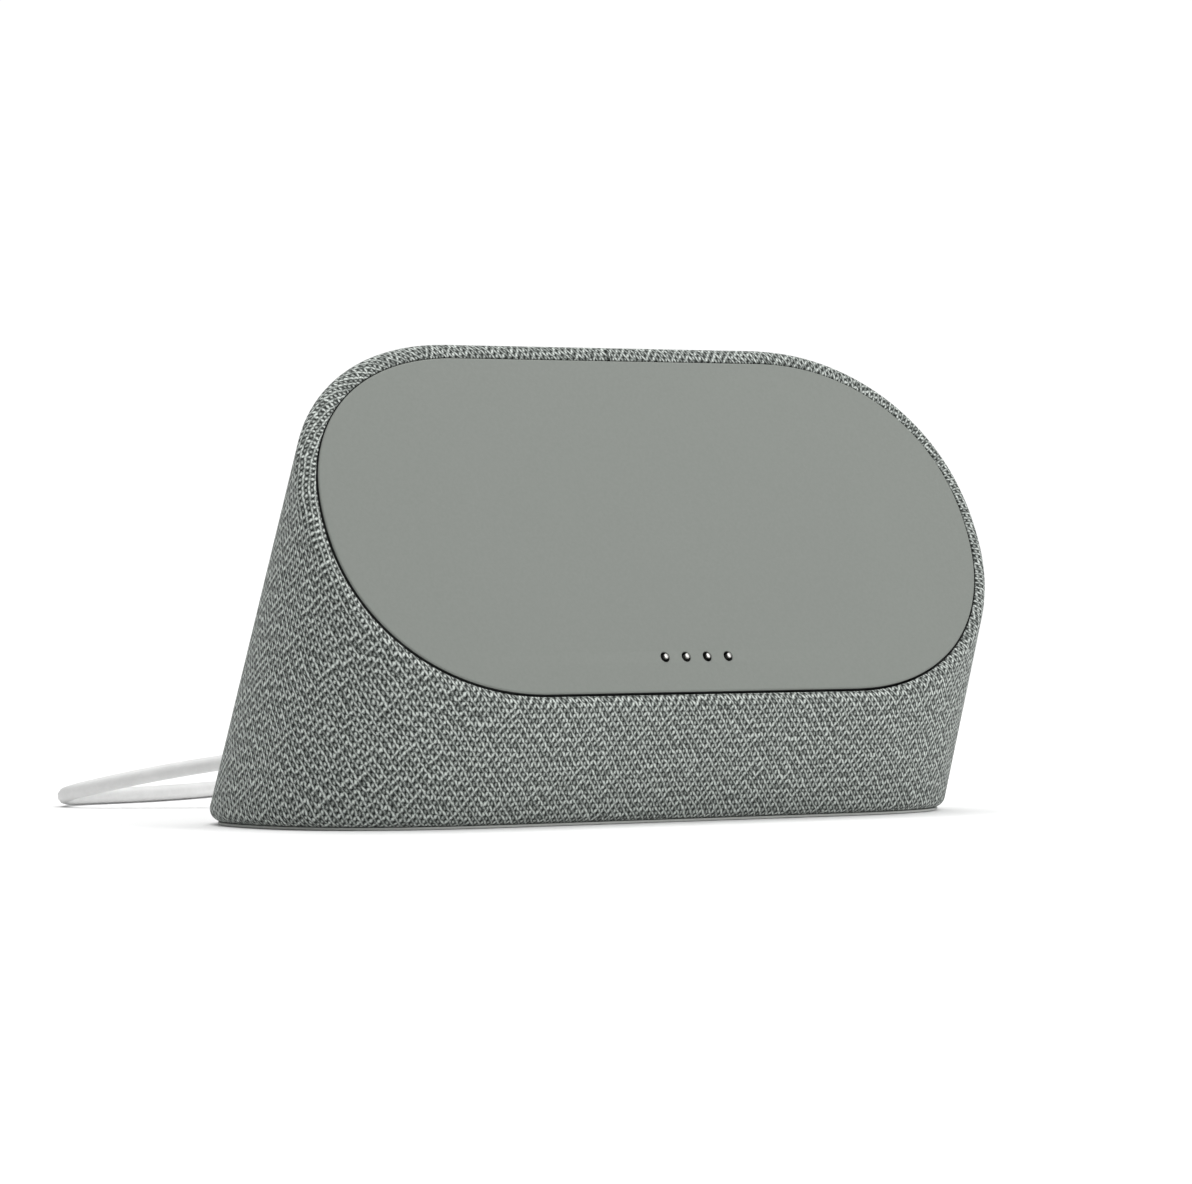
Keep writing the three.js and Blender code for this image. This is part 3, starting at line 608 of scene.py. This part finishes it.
# The radius and height of each turn: inwards along the bottom row, then outwards along the top row.
COIL_RINGS = [(COIL_RADIUS - COIL_PITCH * i, COIL_HEIGHT) for i in range(COIL_COLUMNS)]
COIL_RINGS += [
    (COIL_RADIUS - COIL_PITCH * (COIL_COLUMNS - 1.5 - i), COIL_HEIGHT + COIL_PITCH)
    for i in range(COIL_COLUMNS - 1)
]


def smooth_path(points, steps=8):
    """A centripetal Catmull-Rom curve through the points."""
    points = [Vector(p) for p in points]
    ends = [2 * points[0] - points[1], *points, 2 * points[-1] - points[-2]]
    path = []
    for before, start, stop, after in zip(ends, ends[1:], ends[2:], ends[3:]):
        d0 = math.sqrt((start - before).length)
        d1 = math.sqrt((stop - start).length)
        d2 = math.sqrt((after - stop).length)
        leaving = ((start - before) / d0 - (stop - before) / (d0 + d1) + (stop - start) / d1) * d1
        arriving = ((stop - start) / d1 - (after - start) / (d1 + d2) + (after - stop) / d2) * d1
        for step in range(steps):
            f = step / steps
            path.append(
                start * (2 * f**3 - 3 * f**2 + 1)
                + leaving * (f**3 - 2 * f**2 + f)
                + stop * (3 * f**2 - 2 * f**3)
                + arriving * (f**3 - f**2)
            )
    return path + [points[-1]]


def coil_path(steps=40):
    """The wound turns, clockwise from above, each shifting to the next one's place in its last quarter."""
    path = []
    for step in range(int(COIL_TURNS * steps) + 1):
        turn = step / steps
        ring = min(int(turn), len(COIL_RINGS) - 1)
        following = min(ring + 1, len(COIL_RINGS) - 1)
        shift = smoothstep((turn - ring - 0.75) / 0.25)
        radius = COIL_RINGS[ring][0] * (1 - shift) + COIL_RINGS[following][0] * shift
        height = COIL_RINGS[ring][1] * (1 - shift) + COIL_RINGS[following][1] * shift
        angle = math.pi / 2 - 2 * math.pi * turn
        path.append(Vector((
            COIL_CENTRE[0] + radius * math.cos(angle),
            COIL_CENTRE[1] + radius * math.sin(angle),
            height,
        )))
    return path


def make_cord():
    """One round cord along the run, the coil's turns and the tail."""
    data = bpy.data.curves.new("cord", "CURVE")
    data.dimensions = "3D"
    data.bevel_depth = CORD_RADIUS * MM
    data.bevel_resolution = 3
    data.use_fill_caps = True
    path = smooth_path(RUN) + coil_path() + smooth_path(TAIL)
    spline = data.splines.new("POLY")
    spline.points.add(len(path) - 1)
    for point, where in zip(spline.points, path):
        point.co = (*(where * MM), 1)
    spline.use_smooth = True
    data.materials.append(materials["cord_jacket"])
    cord = bpy.data.objects.new("cord", data)
    scene.collection.objects.link(cord)
    return place(cord, "dock", "cord_jacket", "cable_run", "cable_coil", "cable_tail")


def groove(radius, start, depth, width, slope):
    """A groove round a turned body, as (radius, distance) pairs."""
    floor = radius - depth
    return [(radius, start), (floor, start + slope), (floor, start + width - slope), (radius, start + width)]


def relief_profile(radius, length, grooves):
    """A tapering sleeve with grooves round it."""
    profile = [(radius, 0)]
    pitch = length / (grooves + 1)
    for number in range(grooves):
        start = pitch * (number + 0.55)
        there = radius + (RELIEF_TIP_RADIUS - radius) * start / length
        profile += groove(there, start, depth=0.45, width=1.1, slope=0.25)
    return profile + [(RELIEF_TIP_RADIUS, length - 0.3), (RELIEF_TIP_RADIUS - 0.3, length)]


def make_plug():
    """A barrel that goes into the socket, and a grip with grooves and a rounded end."""
    profile = [
        (BARREL_BORE, BARREL_TIP), (BARREL_RADIUS, BARREL_TIP), (BARREL_RADIUS, GRIP_START),
        (GRIP_RADIUS - 0.3, GRIP_START), (GRIP_RADIUS, GRIP_START + 0.3),
    ]
    for number in range(GRIP_GROOVES):
        start = GRIP_GROOVE_START + GRIP_GROOVE_PITCH * number
        profile += groove(GRIP_RADIUS, start, depth=0.25, width=0.9, slope=0.2)
    rounding = [(0, 1.6), (0.2, 0.8), (0.7, 0.2), (1.3, 0)]
    profile += [(GRIP_RADIUS - inset, PLUG_END - before) for inset, before in rounding]
    plug = turned("plug", profile, Vector((0, 0, PORT_HEIGHT)), Y, materials["white_plastic"])
    return place(plug, "dock", "white_plastic", "cord_plug")


def make_reliefs():
    """The ribbed sleeves where the cord leaves the plug and the adapter."""
    near_start = Vector((0, PLUG_END - RELIEF_SINK, PORT_HEIGHT))
    near_profile = relief_profile(PLUG_RELIEF_RADIUS, RELIEF_END - near_start.y, 7)
    near = turned("plug_relief", near_profile, near_start, Y, materials["cord_jacket"])
    far_start = Vector((ADAPTER_LOW.x + RELIEF_SINK, ADAPTER_CENTRE.y, ADAPTER_EXIT_HEIGHT))
    far_profile = relief_profile(ADAPTER_RELIEF_RADIUS, ADAPTER_RELIEF_LENGTH, 5)
    far = turned("adapter_sleeve", far_profile, far_start, -X, materials["cord_jacket"])
    place(near, "dock", "cord_jacket", "cord_relief")
    place(far, "dock", "cord_jacket", "adapter_relief")
    return near, far


def rounded_rectangle(width, height, radius, steps=8):
    """A rectangle round the origin, with arcs for corners."""
    outline = []
    for quarter, (sx, sy) in enumerate([(1, 1), (-1, 1), (-1, -1), (1, -1)]):
        for step in range(steps + 1):
            angle = (quarter + step / steps) * math.pi / 2
            outline.append(Vector((
                sx * (width / 2 - radius) + radius * math.cos(angle),
                sy * (height / 2 - radius) + radius * math.sin(angle),
            )))
    return outline


def add_adapter_body(shape):
    """A rounded block with a parting groove round it."""
    size = ADAPTER_HIGH - ADAPTER_LOW
    rounding = []
    steps = 8
    for step in range(steps + 1):
        angle = step / steps * math.pi / 2
        rounding.append((ADAPTER_CORNER * (1 - math.sin(angle)), ADAPTER_CORNER * (1 - math.cos(angle))))
    parting = groove(0, ADAPTER_GROOVE, depth=0.35, width=1.0, slope=0.2)
    parting = [(-radius, along) for radius, along in parting]
    far_end = [(inset, size.x - along) for inset, along in reversed(rounding)]
    rings = []
    for inset, along in rounding + parting + far_end:
        outline = rounded_rectangle(size.y - 2 * inset, size.z - 2 * inset, ADAPTER_CORNER + 0.5 - inset)
        x = ADAPTER_LOW.x + along
        rings.append(shape.ring(Vector((x, ADAPTER_CENTRE.y + p.x, ADAPTER_CENTRE.z + p.y)) for p in outline))
    shape.skin(rings)
    shape.cap(rings[0])
    shape.cap(rings[-1])


def add_blade(shape, y):
    """A flat blade with a bevelled tip and a round hole through it."""
    lower_half = [
        (ADAPTER_HIGH.x - 1, -BLADE_HALF_HEIGHT), (BLADE_TIP - BLADE_BEVEL, -BLADE_HALF_HEIGHT),
        (BLADE_TIP, BLADE_BEVEL - BLADE_HALF_HEIGHT),
    ]
    outline = lower_half + [(x, -z) for x, z in reversed(lower_half)]
    hole_outline = circle(BLADE_HOLE, (BLADE_HOLE_PLACE, ADAPTER_CENTRE.z), 24)
    edges = []
    holes = []
    for side_y in (y - BLADE_THICKNESS / 2, y + BLADE_THICKNESS / 2):
        edges.append(shape.ring(Vector((x, side_y, ADAPTER_CENTRE.z + z)) for x, z in outline))
        holes.append(shape.ring(Vector((p.x, side_y, p.y)) for p in hole_outline))
        shape.cap(edges[-1], holes[-1])
    shape.skin(edges)
    shape.skin(holes)


def make_adapter():
    """The block and its two blades, which are bright metal where they stand out of it."""
    shape = Shape()
    add_adapter_body(shape)
    for side in (-1, 1):
        add_blade(shape, ADAPTER_CENTRE.y + side * BLADE_SPACING / 2)
    adapter = shape.build("adapter", materials["white_plastic"])
    adapter.data.materials.append(materials["nickel"])
    for face in adapter.data.polygons:
        if face.center.x > (ADAPTER_HIGH.x + 0.05) * MM:
            face.material_index = 1
    return place(adapter, "dock", "white_plastic", "power_adapter")


def make_tie():
    """A strap closed round the turns, with its end lying over itself as a flap."""
    centre = Vector(((TIE_LOW[0] + TIE_HIGH[0]) / 2, (TIE_LOW[1] + TIE_HIGH[1]) / 2))
    width = TIE_HIGH[0] - TIE_LOW[0] + TIE_THICKNESS
    height = TIE_HIGH[1] - TIE_LOW[1] + TIE_THICKNESS
    loop = rounded_rectangle(width, height, TIE_CORNER)
    # The strap's own section in half widths and half thicknesses, a little thicker along its middle.
    section = [(-1, -1), (-1, 1), (-0.5, 1.12), (0, 1.15), (0.5, 1.12), (1, 1), (1, -1)]
    shape = Shape()
    rings = []
    for i, p in enumerate(loop):
        before, after = loop[i - 1], loop[(i + 1) % len(loop)]
        direction = (after - before).normalized()
        outward = Vector((direction.y, -direction.x))
        ring = []
        for across, out in section:
            q = centre + p + outward * out * TIE_THICKNESS / 2
            ring.append(Vector((q.x, COIL_CENTRE[1] + across * TIE_HALF_WIDTH, q.y)))
        rings.append(shape.ring(ring))
    rings.append(rings[0])
    shape.skin(rings)
    flap = [(61, 2.4), (73.6, 2.4), (75.2, 1.4), (75.7, 0), (75.2, -1.4), (73.6, -2.4), (61, -2.4)]
    top = TIE_HIGH[1] + TIE_THICKNESS + 0.02
    lower = shape.ring(Vector((x, COIL_CENTRE[1] + y, top)) for x, y in flap)
    upper = shape.ring(Vector((x, COIL_CENTRE[1] + y, top + FLAP_THICKNESS)) for x, y in flap)
    shape.skin([lower, upper])
    shape.cap(lower)
    shape.cap(upper)
    tie = shape.build("coil_strap", materials["tie_strap"])
    return place(tie, "dock", "tie_strap", "coil_tie")


cord = make_cord()
plug = make_plug()
plug_relief, adapter_sleeve = make_reliefs()
adapter = make_adapter()
tie = make_tie()

# ------------------------------------ fabric cover

SPINE_OFFSET = RIM_OFFSET - RIM_RADIUS  # the middle of the rolled rim
SPINE_LEVEL = -RIM_DROP - RIM_RADIUS
HEM_MIDDLE = HEM_HEIGHT + HEM_RADIUS  # the height of the hem's middle line

# The cover's columns in a quarter of the outline, and in half of the straight part at the back and the front.
QUARTER_COLUMNS = 48
HALF_BACK_COLUMNS = 36
HALF_FRONT_COLUMNS = 28

# The rows of the wall, as fractions of its height. They lie closer together low down, round the plug's hole.
LOW_PART = 0.2
LOW_ROWS = 18
HIGH_ROWS = 30
WALL_ROWS = [LOW_PART * step / LOW_ROWS for step in range(LOW_ROWS)]
WALL_ROWS += [LOW_PART + (1 - LOW_PART) * step / HIGH_ROWS for step in range(HIGH_ROWS + 1)]

LIP_STEPS = 5
RIM_STEPS = 10
HEM_STEPS = 8

# How much painted shade darkens the cover's first rows, down in the recess, and its last, under the hem.
RECESS_PAINTED_SHADE = [1.0, 1.0, 1.0, 0.6]
HEM_PAINTED_SHADE = [0.7, 1.0, 1.0]


def face_support(direction):
    """The point of the face plate's outline that lies furthest in a direction, and the normal there."""
    a = direction.dot(X)
    b = direction.dot(FACE_UP)
    power = 1 / (FACE["power"] - 1)
    half = FACE["height"] / 2
    across = (abs(a) * FACE["end"]) ** power
    up = (abs(b) * half) ** power
    size = (across ** FACE["power"] + up ** FACE["power"]) ** (1 / FACE["power"])
    straight = FACE["width"] / 2 - FACE["end"]
    point = Vector((
        math.copysign(straight + FACE["end"] * across / size, a),
        math.copysign(half * up / size, b),
    ))
    outward = Vector((a, b)).normalized()
    return point, outward


def wall_tilt(hem_point, level_normal):
    """The angle above level of the outward normal of the plane that touches both the rim and the hem."""

    def reach(tilt):
        normal = level_normal * math.cos(tilt) + Z * math.sin(tilt)
        point, outward = face_support(normal)
        rim = on_face(point + outward * SPINE_OFFSET, SPINE_LEVEL)
        return rim.dot(normal) + RIM_RADIUS - hem_point.dot(normal) - HEM_RADIUS

    low, high = -1.0, 1.2  # the tilt is searched for between these
    for _ in range(40):
        middle = (low + high) / 2
        if reach(middle) > 0:
            high = middle
        else:
            low = middle
    return low


def cover_columns():
    """Where the cover's columns run, anticlockwise from the middle of the back.

    Each is the middle of the hem's rounding, its level normal, the tilt of the wall, and the point and normal
    of the face plate's outline.
    """
    straight = BASE["width"] / 2 - BASE["end"]
    face_straight = FACE["width"] / 2 - FACE["end"]
    columns = []

    def add_straight(side, fractions):
        hem, _ = pill_frame(BASE, math.pi / 2, side, 1)
        level_normal = Vector((0, side, 0))
        for fraction in fractions:
            point = BASE_CENTRE + Vector((fraction * straight, hem.y - side * HEM_RADIUS, HEM_MIDDLE))
            tilt = wall_tilt(point, level_normal)
            edge = Vector((fraction * face_straight, side * FACE["height"] / 2))
            columns.append((point, level_normal, tilt, edge, Vector((0, side))))

    def add_quarter(side, end, angles):
        for angle in angles:
            hem, normal = pill_frame(BASE, angle, side, end)
            level_normal = Vector((normal.x, normal.y, 0))
            point = BASE_CENTRE + Vector((hem.x, hem.y, HEM_MIDDLE)) - level_normal * HEM_RADIUS
            tilt = wall_tilt(point, level_normal)
            edge, outward = face_support(level_normal * math.cos(tilt) + Z * math.sin(tilt))
            columns.append((point, level_normal, tilt, edge, outward))

    angles = [(step + 0.5) / QUARTER_COLUMNS * math.pi / 2 for step in range(QUARTER_COLUMNS)]
    half_back = [(step / HALF_BACK_COLUMNS) ** 1.5 for step in range(HALF_BACK_COLUMNS + 1)]
    front = [-1 + step / HALF_FRONT_COLUMNS for step in range(2 * HALF_FRONT_COLUMNS + 1)]
    add_straight(1, [-fraction for fraction in half_back])
    add_quarter(1, -1, reversed(angles))
    add_quarter(-1, -1, angles)
    add_straight(-1, front)
    add_quarter(-1, 1, reversed(angles))
    add_quarter(1, 1, angles)
    add_straight(1, reversed(half_back))
    return columns


def column_points(column):
    """The points of one column in three lists: from the recess over the rim, down the wall, under the hem."""
    hem, level_normal, tilt, edge, outward = column
    normal = level_normal * math.cos(tilt) + Z * math.sin(tilt)
    rim = []

    # The cloth is stretched downwards, so it lies closer to the plate along the top than along the bottom.
    gap = RECESS_OFFSET - RECESS_PULL * smoothstep(0.2 + outward.y)

    def rim_point(offset, level):
        rim.append(on_face(edge + outward * offset, level))

    for level in (RECESS_LEVEL, RECESS_BEND_LEVEL):
        rim_point(gap, level)
    for step in range(LIP_STEPS + 1):
        angle = step / LIP_STEPS * math.pi / 2
        rim_point(gap + LIP_RADIUS * (1 - math.cos(angle)), -RIM_DROP - LIP_RADIUS * (1 - math.sin(angle)))
    rim_point((gap + LIP_RADIUS + SPINE_OFFSET) / 2, -RIM_DROP)
    spine = on_face(edge + outward * SPINE_OFFSET, SPINE_LEVEL)
    side = (X * outward.x + FACE_UP * outward.y).normalized()
    sweep = math.acos(max(-1, min(1, normal.dot(FACE_NORMAL))))
    for step in range(RIM_STEPS):
        angle = step / RIM_STEPS * sweep
        rim.append(spine + (FACE_NORMAL * math.cos(angle) + side * math.sin(angle)) * RIM_RADIUS)

    top = spine + normal * RIM_RADIUS
    bottom = hem + normal * HEM_RADIUS
    wall = [top.lerp(bottom, 1 - fraction) for fraction in reversed(WALL_ROWS)]

    under = []
    for step in range(1, HEM_STEPS + 1):
        angle = tilt + (-math.pi / 2 - tilt) * step / HEM_STEPS
        under.append(hem + (level_normal * math.cos(angle) + Z * math.sin(angle)) * HEM_RADIUS)
    tuck = HEM_INSET - HEM_RADIUS
    under.append(hem - level_normal * tuck * 0.5 - Z * HEM_RADIUS)
    under.append(hem - level_normal * tuck - Z * HEM_RADIUS)
    under.append(hem - level_normal * (tuck + 0.15) - Z * (HEM_RADIUS - HEM_EDGE_TURN))
    return rim, wall, under


def meet(a, b, from_a, from_b, sign):
    """The point of the plane at two distances from two known points, on the chosen side of them."""
    line = b - a
    length = line.length
    along = (from_a**2 - from_b**2 + length**2) / (2 * length)
    away = math.sqrt(max(from_a**2 - along**2, 0))
    direction = line / length
    return a + direction * along + Vector((-direction.y, direction.x)) * away * sign


def unrolled(walls, middle):
    """The wall laid flat: the places of each column's top and bottom, from the middle column both ways."""
    flat = [None] * len(walls)
    top, bottom = walls[middle][0], walls[middle][-1]
    flat[middle] = (Vector((0, (top - bottom).length)), Vector((0, 0)))
    for order, sign in ((range(middle + 1, len(walls)), -1), (range(middle - 1, -1, -1), 1)):
        for i in order:
            previous = i - 1 if sign < 0 else i + 1
            old_top, old_bottom = walls[previous][0], walls[previous][-1]
            new_top, new_bottom = walls[i][0], walls[i][-1]
            flat_top, flat_bottom = flat[previous]
            laid_bottom = meet(
                flat_bottom, flat_top, (new_bottom - old_bottom).length, (new_bottom - old_top).length, sign,
            )
            laid_top = meet(
                laid_bottom, flat_top, (new_top - new_bottom).length, (new_top - old_top).length, sign,
            )
            flat[i] = (laid_top, laid_bottom)
    return flat


def cloth_places(columns, flat, index):
    """Where each point of a column lies in the flat cloth, in millimetres."""
    rim, wall, under = columns[index]
    top, bottom = flat[index]
    before, after = flat[max(index - 1, 0)], flat[min(index + 1, len(flat) - 1)]
    places = []
    up = Vector((-(after[0] - before[0]).y, (after[0] - before[0]).x)).normalized()
    distance = 0
    last = wall[0]
    for point in reversed(rim):
        distance += (point - last).length
        last = point
        places.insert(0, top + up * distance)
    places += [top.lerp(bottom, 1 - fraction) for fraction in reversed(WALL_ROWS)]
    down = Vector(((after[1] - before[1]).y, -(after[1] - before[1]).x)).normalized()
    distance = 0
    last = wall[-1]
    for point in under:
        distance += (point - last).length
        last = point
        places.append(bottom + down * distance)
    return places


def make_cover():
    """The cloth as one sheet, from the recess round the face plate to under the hem, joined at the back."""
    columns = [column_points(column) for column in cover_columns()]
    flat = unrolled([wall for _, wall, _ in columns], len(columns) // 2)
    shape = Shape()
    places = []
    rings = []
    last = len(columns) - 1
    for index, (rim, wall, under) in enumerate(columns):
        column = rim + wall + under
        if index in (0, last):  # the raw edges turn inwards at the seam
            column = [p - Y * SEAM_TURN for p in column]
        rings.append(shape.ring(column))
        places += cloth_places(columns, flat, index)
    rows = len(rings[0])
    for left, right in zip(rings, rings[1:]):
        for row in range(rows - 1):
            shape.faces.append((left[row], left[row + 1], right[row + 1], right[row]))

    def port_distance(point):
        return math.hypot(point.x, point.z - PORT_HEIGHT) if point.y > 0 else math.inf

    shape.faces = [
        face for face in shape.faces
        if port_distance(sum((shape.points[i] for i in face), Vector()) / 4) > PORT_HOLE
    ]
    cover = shape.build("fabric_cover", materials["fabric"], sharp=180, outwards=False)
    mesh = cover.data
    cloth = mesh.attributes.new("cloth", "FLOAT_VECTOR", "POINT")
    # The cloth attribute's third part carries painted shade for the rows in the recess and under the hem.
    painted_shade_rows = RECESS_PAINTED_SHADE + [0.0] * (rows - len(RECESS_PAINTED_SHADE) - len(HEM_PAINTED_SHADE)) + HEM_PAINTED_SHADE
    for index, (value, where) in enumerate(zip(cloth.data, places)):
        value.vector = (where.x, where.y, painted_shade_rows[index % rows])
    open_port(mesh, port_distance)
    return place(cover, "dock", "fabric", "fabric_sleeve")


def open_port(mesh, port_distance):
    """Rounds the hole for the plug and turns its edge inwards.

    The hole's ragged edges are the open ones round it, apart from those that run along the seam.
    """
    bm = bmesh.new()
    bm.from_mesh(mesh)
    bmesh.ops.delete(bm, geom=[v for v in bm.verts if not v.link_faces], context="VERTS")
    edges = [
        edge for edge in bm.edges
        if edge.is_boundary and all(port_distance(v.co / MM) < PORT_HOLE + 1.6 for v in edge.verts)
        and any(port_distance(v.co / MM) < PORT_HOLE + 1.5 and abs(v.co.x / MM) > 0.1 for v in edge.verts)
    ]
    rim = {v for edge in edges for v in edge.verts}
    for vert in rim:
        away = Vector((vert.co.x, vert.co.z - PORT_HEIGHT * MM))
        scale = PORT_HOLE * MM / away.length
        vert.co.x = away.x * scale
        vert.co.z = PORT_HEIGHT * MM + away.y * scale
    made = bmesh.ops.extrude_edge_only(bm, edges=edges)["geom"]
    for vert in (v for v in made if isinstance(v, bmesh.types.BMVert)):
        vert.co.y -= PORT_BINDING * MM
    bm.to_mesh(mesh)
    bm.free()


cover = make_cover()

# ------------------------------------ face plate, pins and foot

pin_places = [(PIN_PITCH * (i - (PIN_COUNT - 1) / 2), PIN_SLOPE) for i in range(PIN_COUNT)]


def make_face_plate():
    """A flat pill with a rounded edge and four holes for the pins."""
    shape = Shape()
    sections = [(0, -FACE_THICKNESS), (0, -FACE_EDGE)]
    steps = 6
    for step in range(1, steps + 1):
        angle = step / steps * math.pi / 2
        sections.append((-FACE_EDGE * (1 - math.cos(angle)), -FACE_EDGE * (1 - math.sin(angle))))
    rings = [shape.ring(on_face(p, level) for p in pill_outline(FACE, offset)) for offset, level in sections]
    shape.skin(rings)
    front_holes = []
    back_holes = []
    for centre in pin_places:
        wall = [(PIN_HOLE + PIN_HOLE_BEVEL, 0), (PIN_HOLE, -PIN_HOLE_BEVEL), (PIN_HOLE, -FACE_THICKNESS)]
        hole = [shape.ring(on_face(p, level) for p in circle(radius, centre)) for radius, level in wall]
        shape.skin(hole)
        front_holes.append(hole[0])
        back_holes.append(hole[-1])
    shape.cap(rings[-1], *front_holes)
    shape.cap(rings[0], *back_holes)
    plate = shape.build("front_plate", materials["soft_touch"], sharp=40)
    # The plate's side below that level is dark plastic: painted shade for the gap round the plate.
    plate.data.materials.append(materials["dark_plastic"])
    for face in plate.data.polygons:
        level = (face.center / MM - FACE_CENTRE).dot(FACE_NORMAL)
        if level < FACE_PAINTED_SHADE_LEVEL:
            face.material_index = 1
    return place(plate, "dock", "soft_touch", "face_plate")


def make_pins():
    """Turned pins: a collar behind the plate, a shank, and a slimmer domed end that stands proud."""
    shank = [
        (COLLAR_RADIUS, COLLAR_BACK), (COLLAR_RADIUS, COLLAR_FRONT), (PIN_RADIUS, COLLAR_FRONT),
        (PIN_RADIUS, -0.6), (PIN_TIP_RADIUS, -0.4), (PIN_TIP_RADIUS, 0.32),
    ]
    dome = [(0.54, 0.39), (0.49, 0.445), (0.40, 0.48), (0.26, 0.496), (0.1, 0.5)]
    material = materials["contact_metal"]
    for number, centre in enumerate(pin_places, 1):
        start = on_face(centre, 0)
        pin = turned(f"pin_{number}_plunger", shank + dome, start, FACE_NORMAL, material, 32)
        place(pin, f"pin_{number}", "contact_metal", f"contact_pin_{number}")


def make_foot():
    """A flat pad whose rounded edge shows under the cover, stepped in above so that the hem clears it."""
    shape = Shape()
    step_height = FOOT_EDGE + 0.05
    sections = [
        (FOOT_INSET + 0.4, 0), (FOOT_INSET + 0.1, 0.06), (FOOT_INSET, 0.2), (FOOT_INSET, FOOT_EDGE),
        (FOOT_INSET + 0.2, step_height), (FOOT_STEP, step_height), (FOOT_STEP, FOOT_THICKNESS),
    ]
    rings = [
        shape.ring(BASE_CENTRE + Vector((p.x, p.y, z)) for p in pill_outline(BASE, -inset))
        for inset, z in sections
    ]
    shape.skin(rings)
    shape.cap(rings[0])
    shape.cap(rings[-1])
    foot = shape.build("rubber_foot", materials["silicone"])
    return place(foot, "dock", "silicone", "foot_pad")


make_face_plate()
make_pins()
make_foot()

# ------------------------------------ studio, in metres

FLOOR_RADIUS = 0.8
FLOOR_LEVEL = -0.00005  # just clear of the foot's flat underside
WORLD_LIGHT = 0.28  # how bright the surroundings are where they light the object
WORLD_SEEN = 1.05  # and where the camera sees them


def floor_material():
    """Plain, pale and without shine."""
    surface = Surface("studio_floor", Roughness=0.9)
    tone = surface.noise(3, 2)
    surface.feed("Base Color", surface.colour(tone, (0.90, 0.90, 0.90), (0.92, 0.92, 0.92)))
    surface.shader.inputs["Specular IOR Level"].default_value = 0.0
    return surface.material


def make_floor():
    bpy.ops.mesh.primitive_circle_add(
        vertices=96, radius=FLOOR_RADIUS, fill_type="NGON", location=(0, 0, FLOOR_LEVEL),
    )
    floor = bpy.context.object
    floor.name = "studio_floor"
    floor.data.materials.append(floor_material())


def softbox(name, where, target, size, power):
    """A rectangular white light that looks at its target."""
    light = bpy.data.lights.new(name, "AREA")
    light.shape = "RECTANGLE"
    light.size, light.size_y = size
    light.energy = power
    obj = bpy.data.objects.new(name, light)
    obj.location = where
    obj.rotation_mode = "QUATERNION"
    obj.rotation_quaternion = (Vector(target) - Vector(where)).to_track_quat("-Z", "Y")
    scene.collection.objects.link(obj)


def make_world():
    """White to the camera, and softer where it lights the object."""
    world = bpy.data.worlds.new("studio")
    scene.world = world
    world.use_nodes = True
    tree = world.node_tree
    background = tree.nodes["Background"]
    background.inputs["Color"].default_value = (1, 1, 1, 1)
    path = tree.nodes.new("ShaderNodeLightPath")
    strength = Wire(tree, path.outputs["Is Camera Ray"]).ramp(0, 1, WORLD_LIGHT, WORLD_SEEN)
    tree.links.new(strength.socket, background.inputs["Strength"])


make_floor()
make_world()
softbox("overhead", where=(0.1, 0.1, 2.2), target=(0, 0, 0), size=(3.6, 3.6), power=80)
softbox("front_right", where=(0.9, -1.6, 1.3), target=(0, 0, 0.05), size=(1.2, 1.0), power=19)
scene.view_settings.view_transform = "Standard"
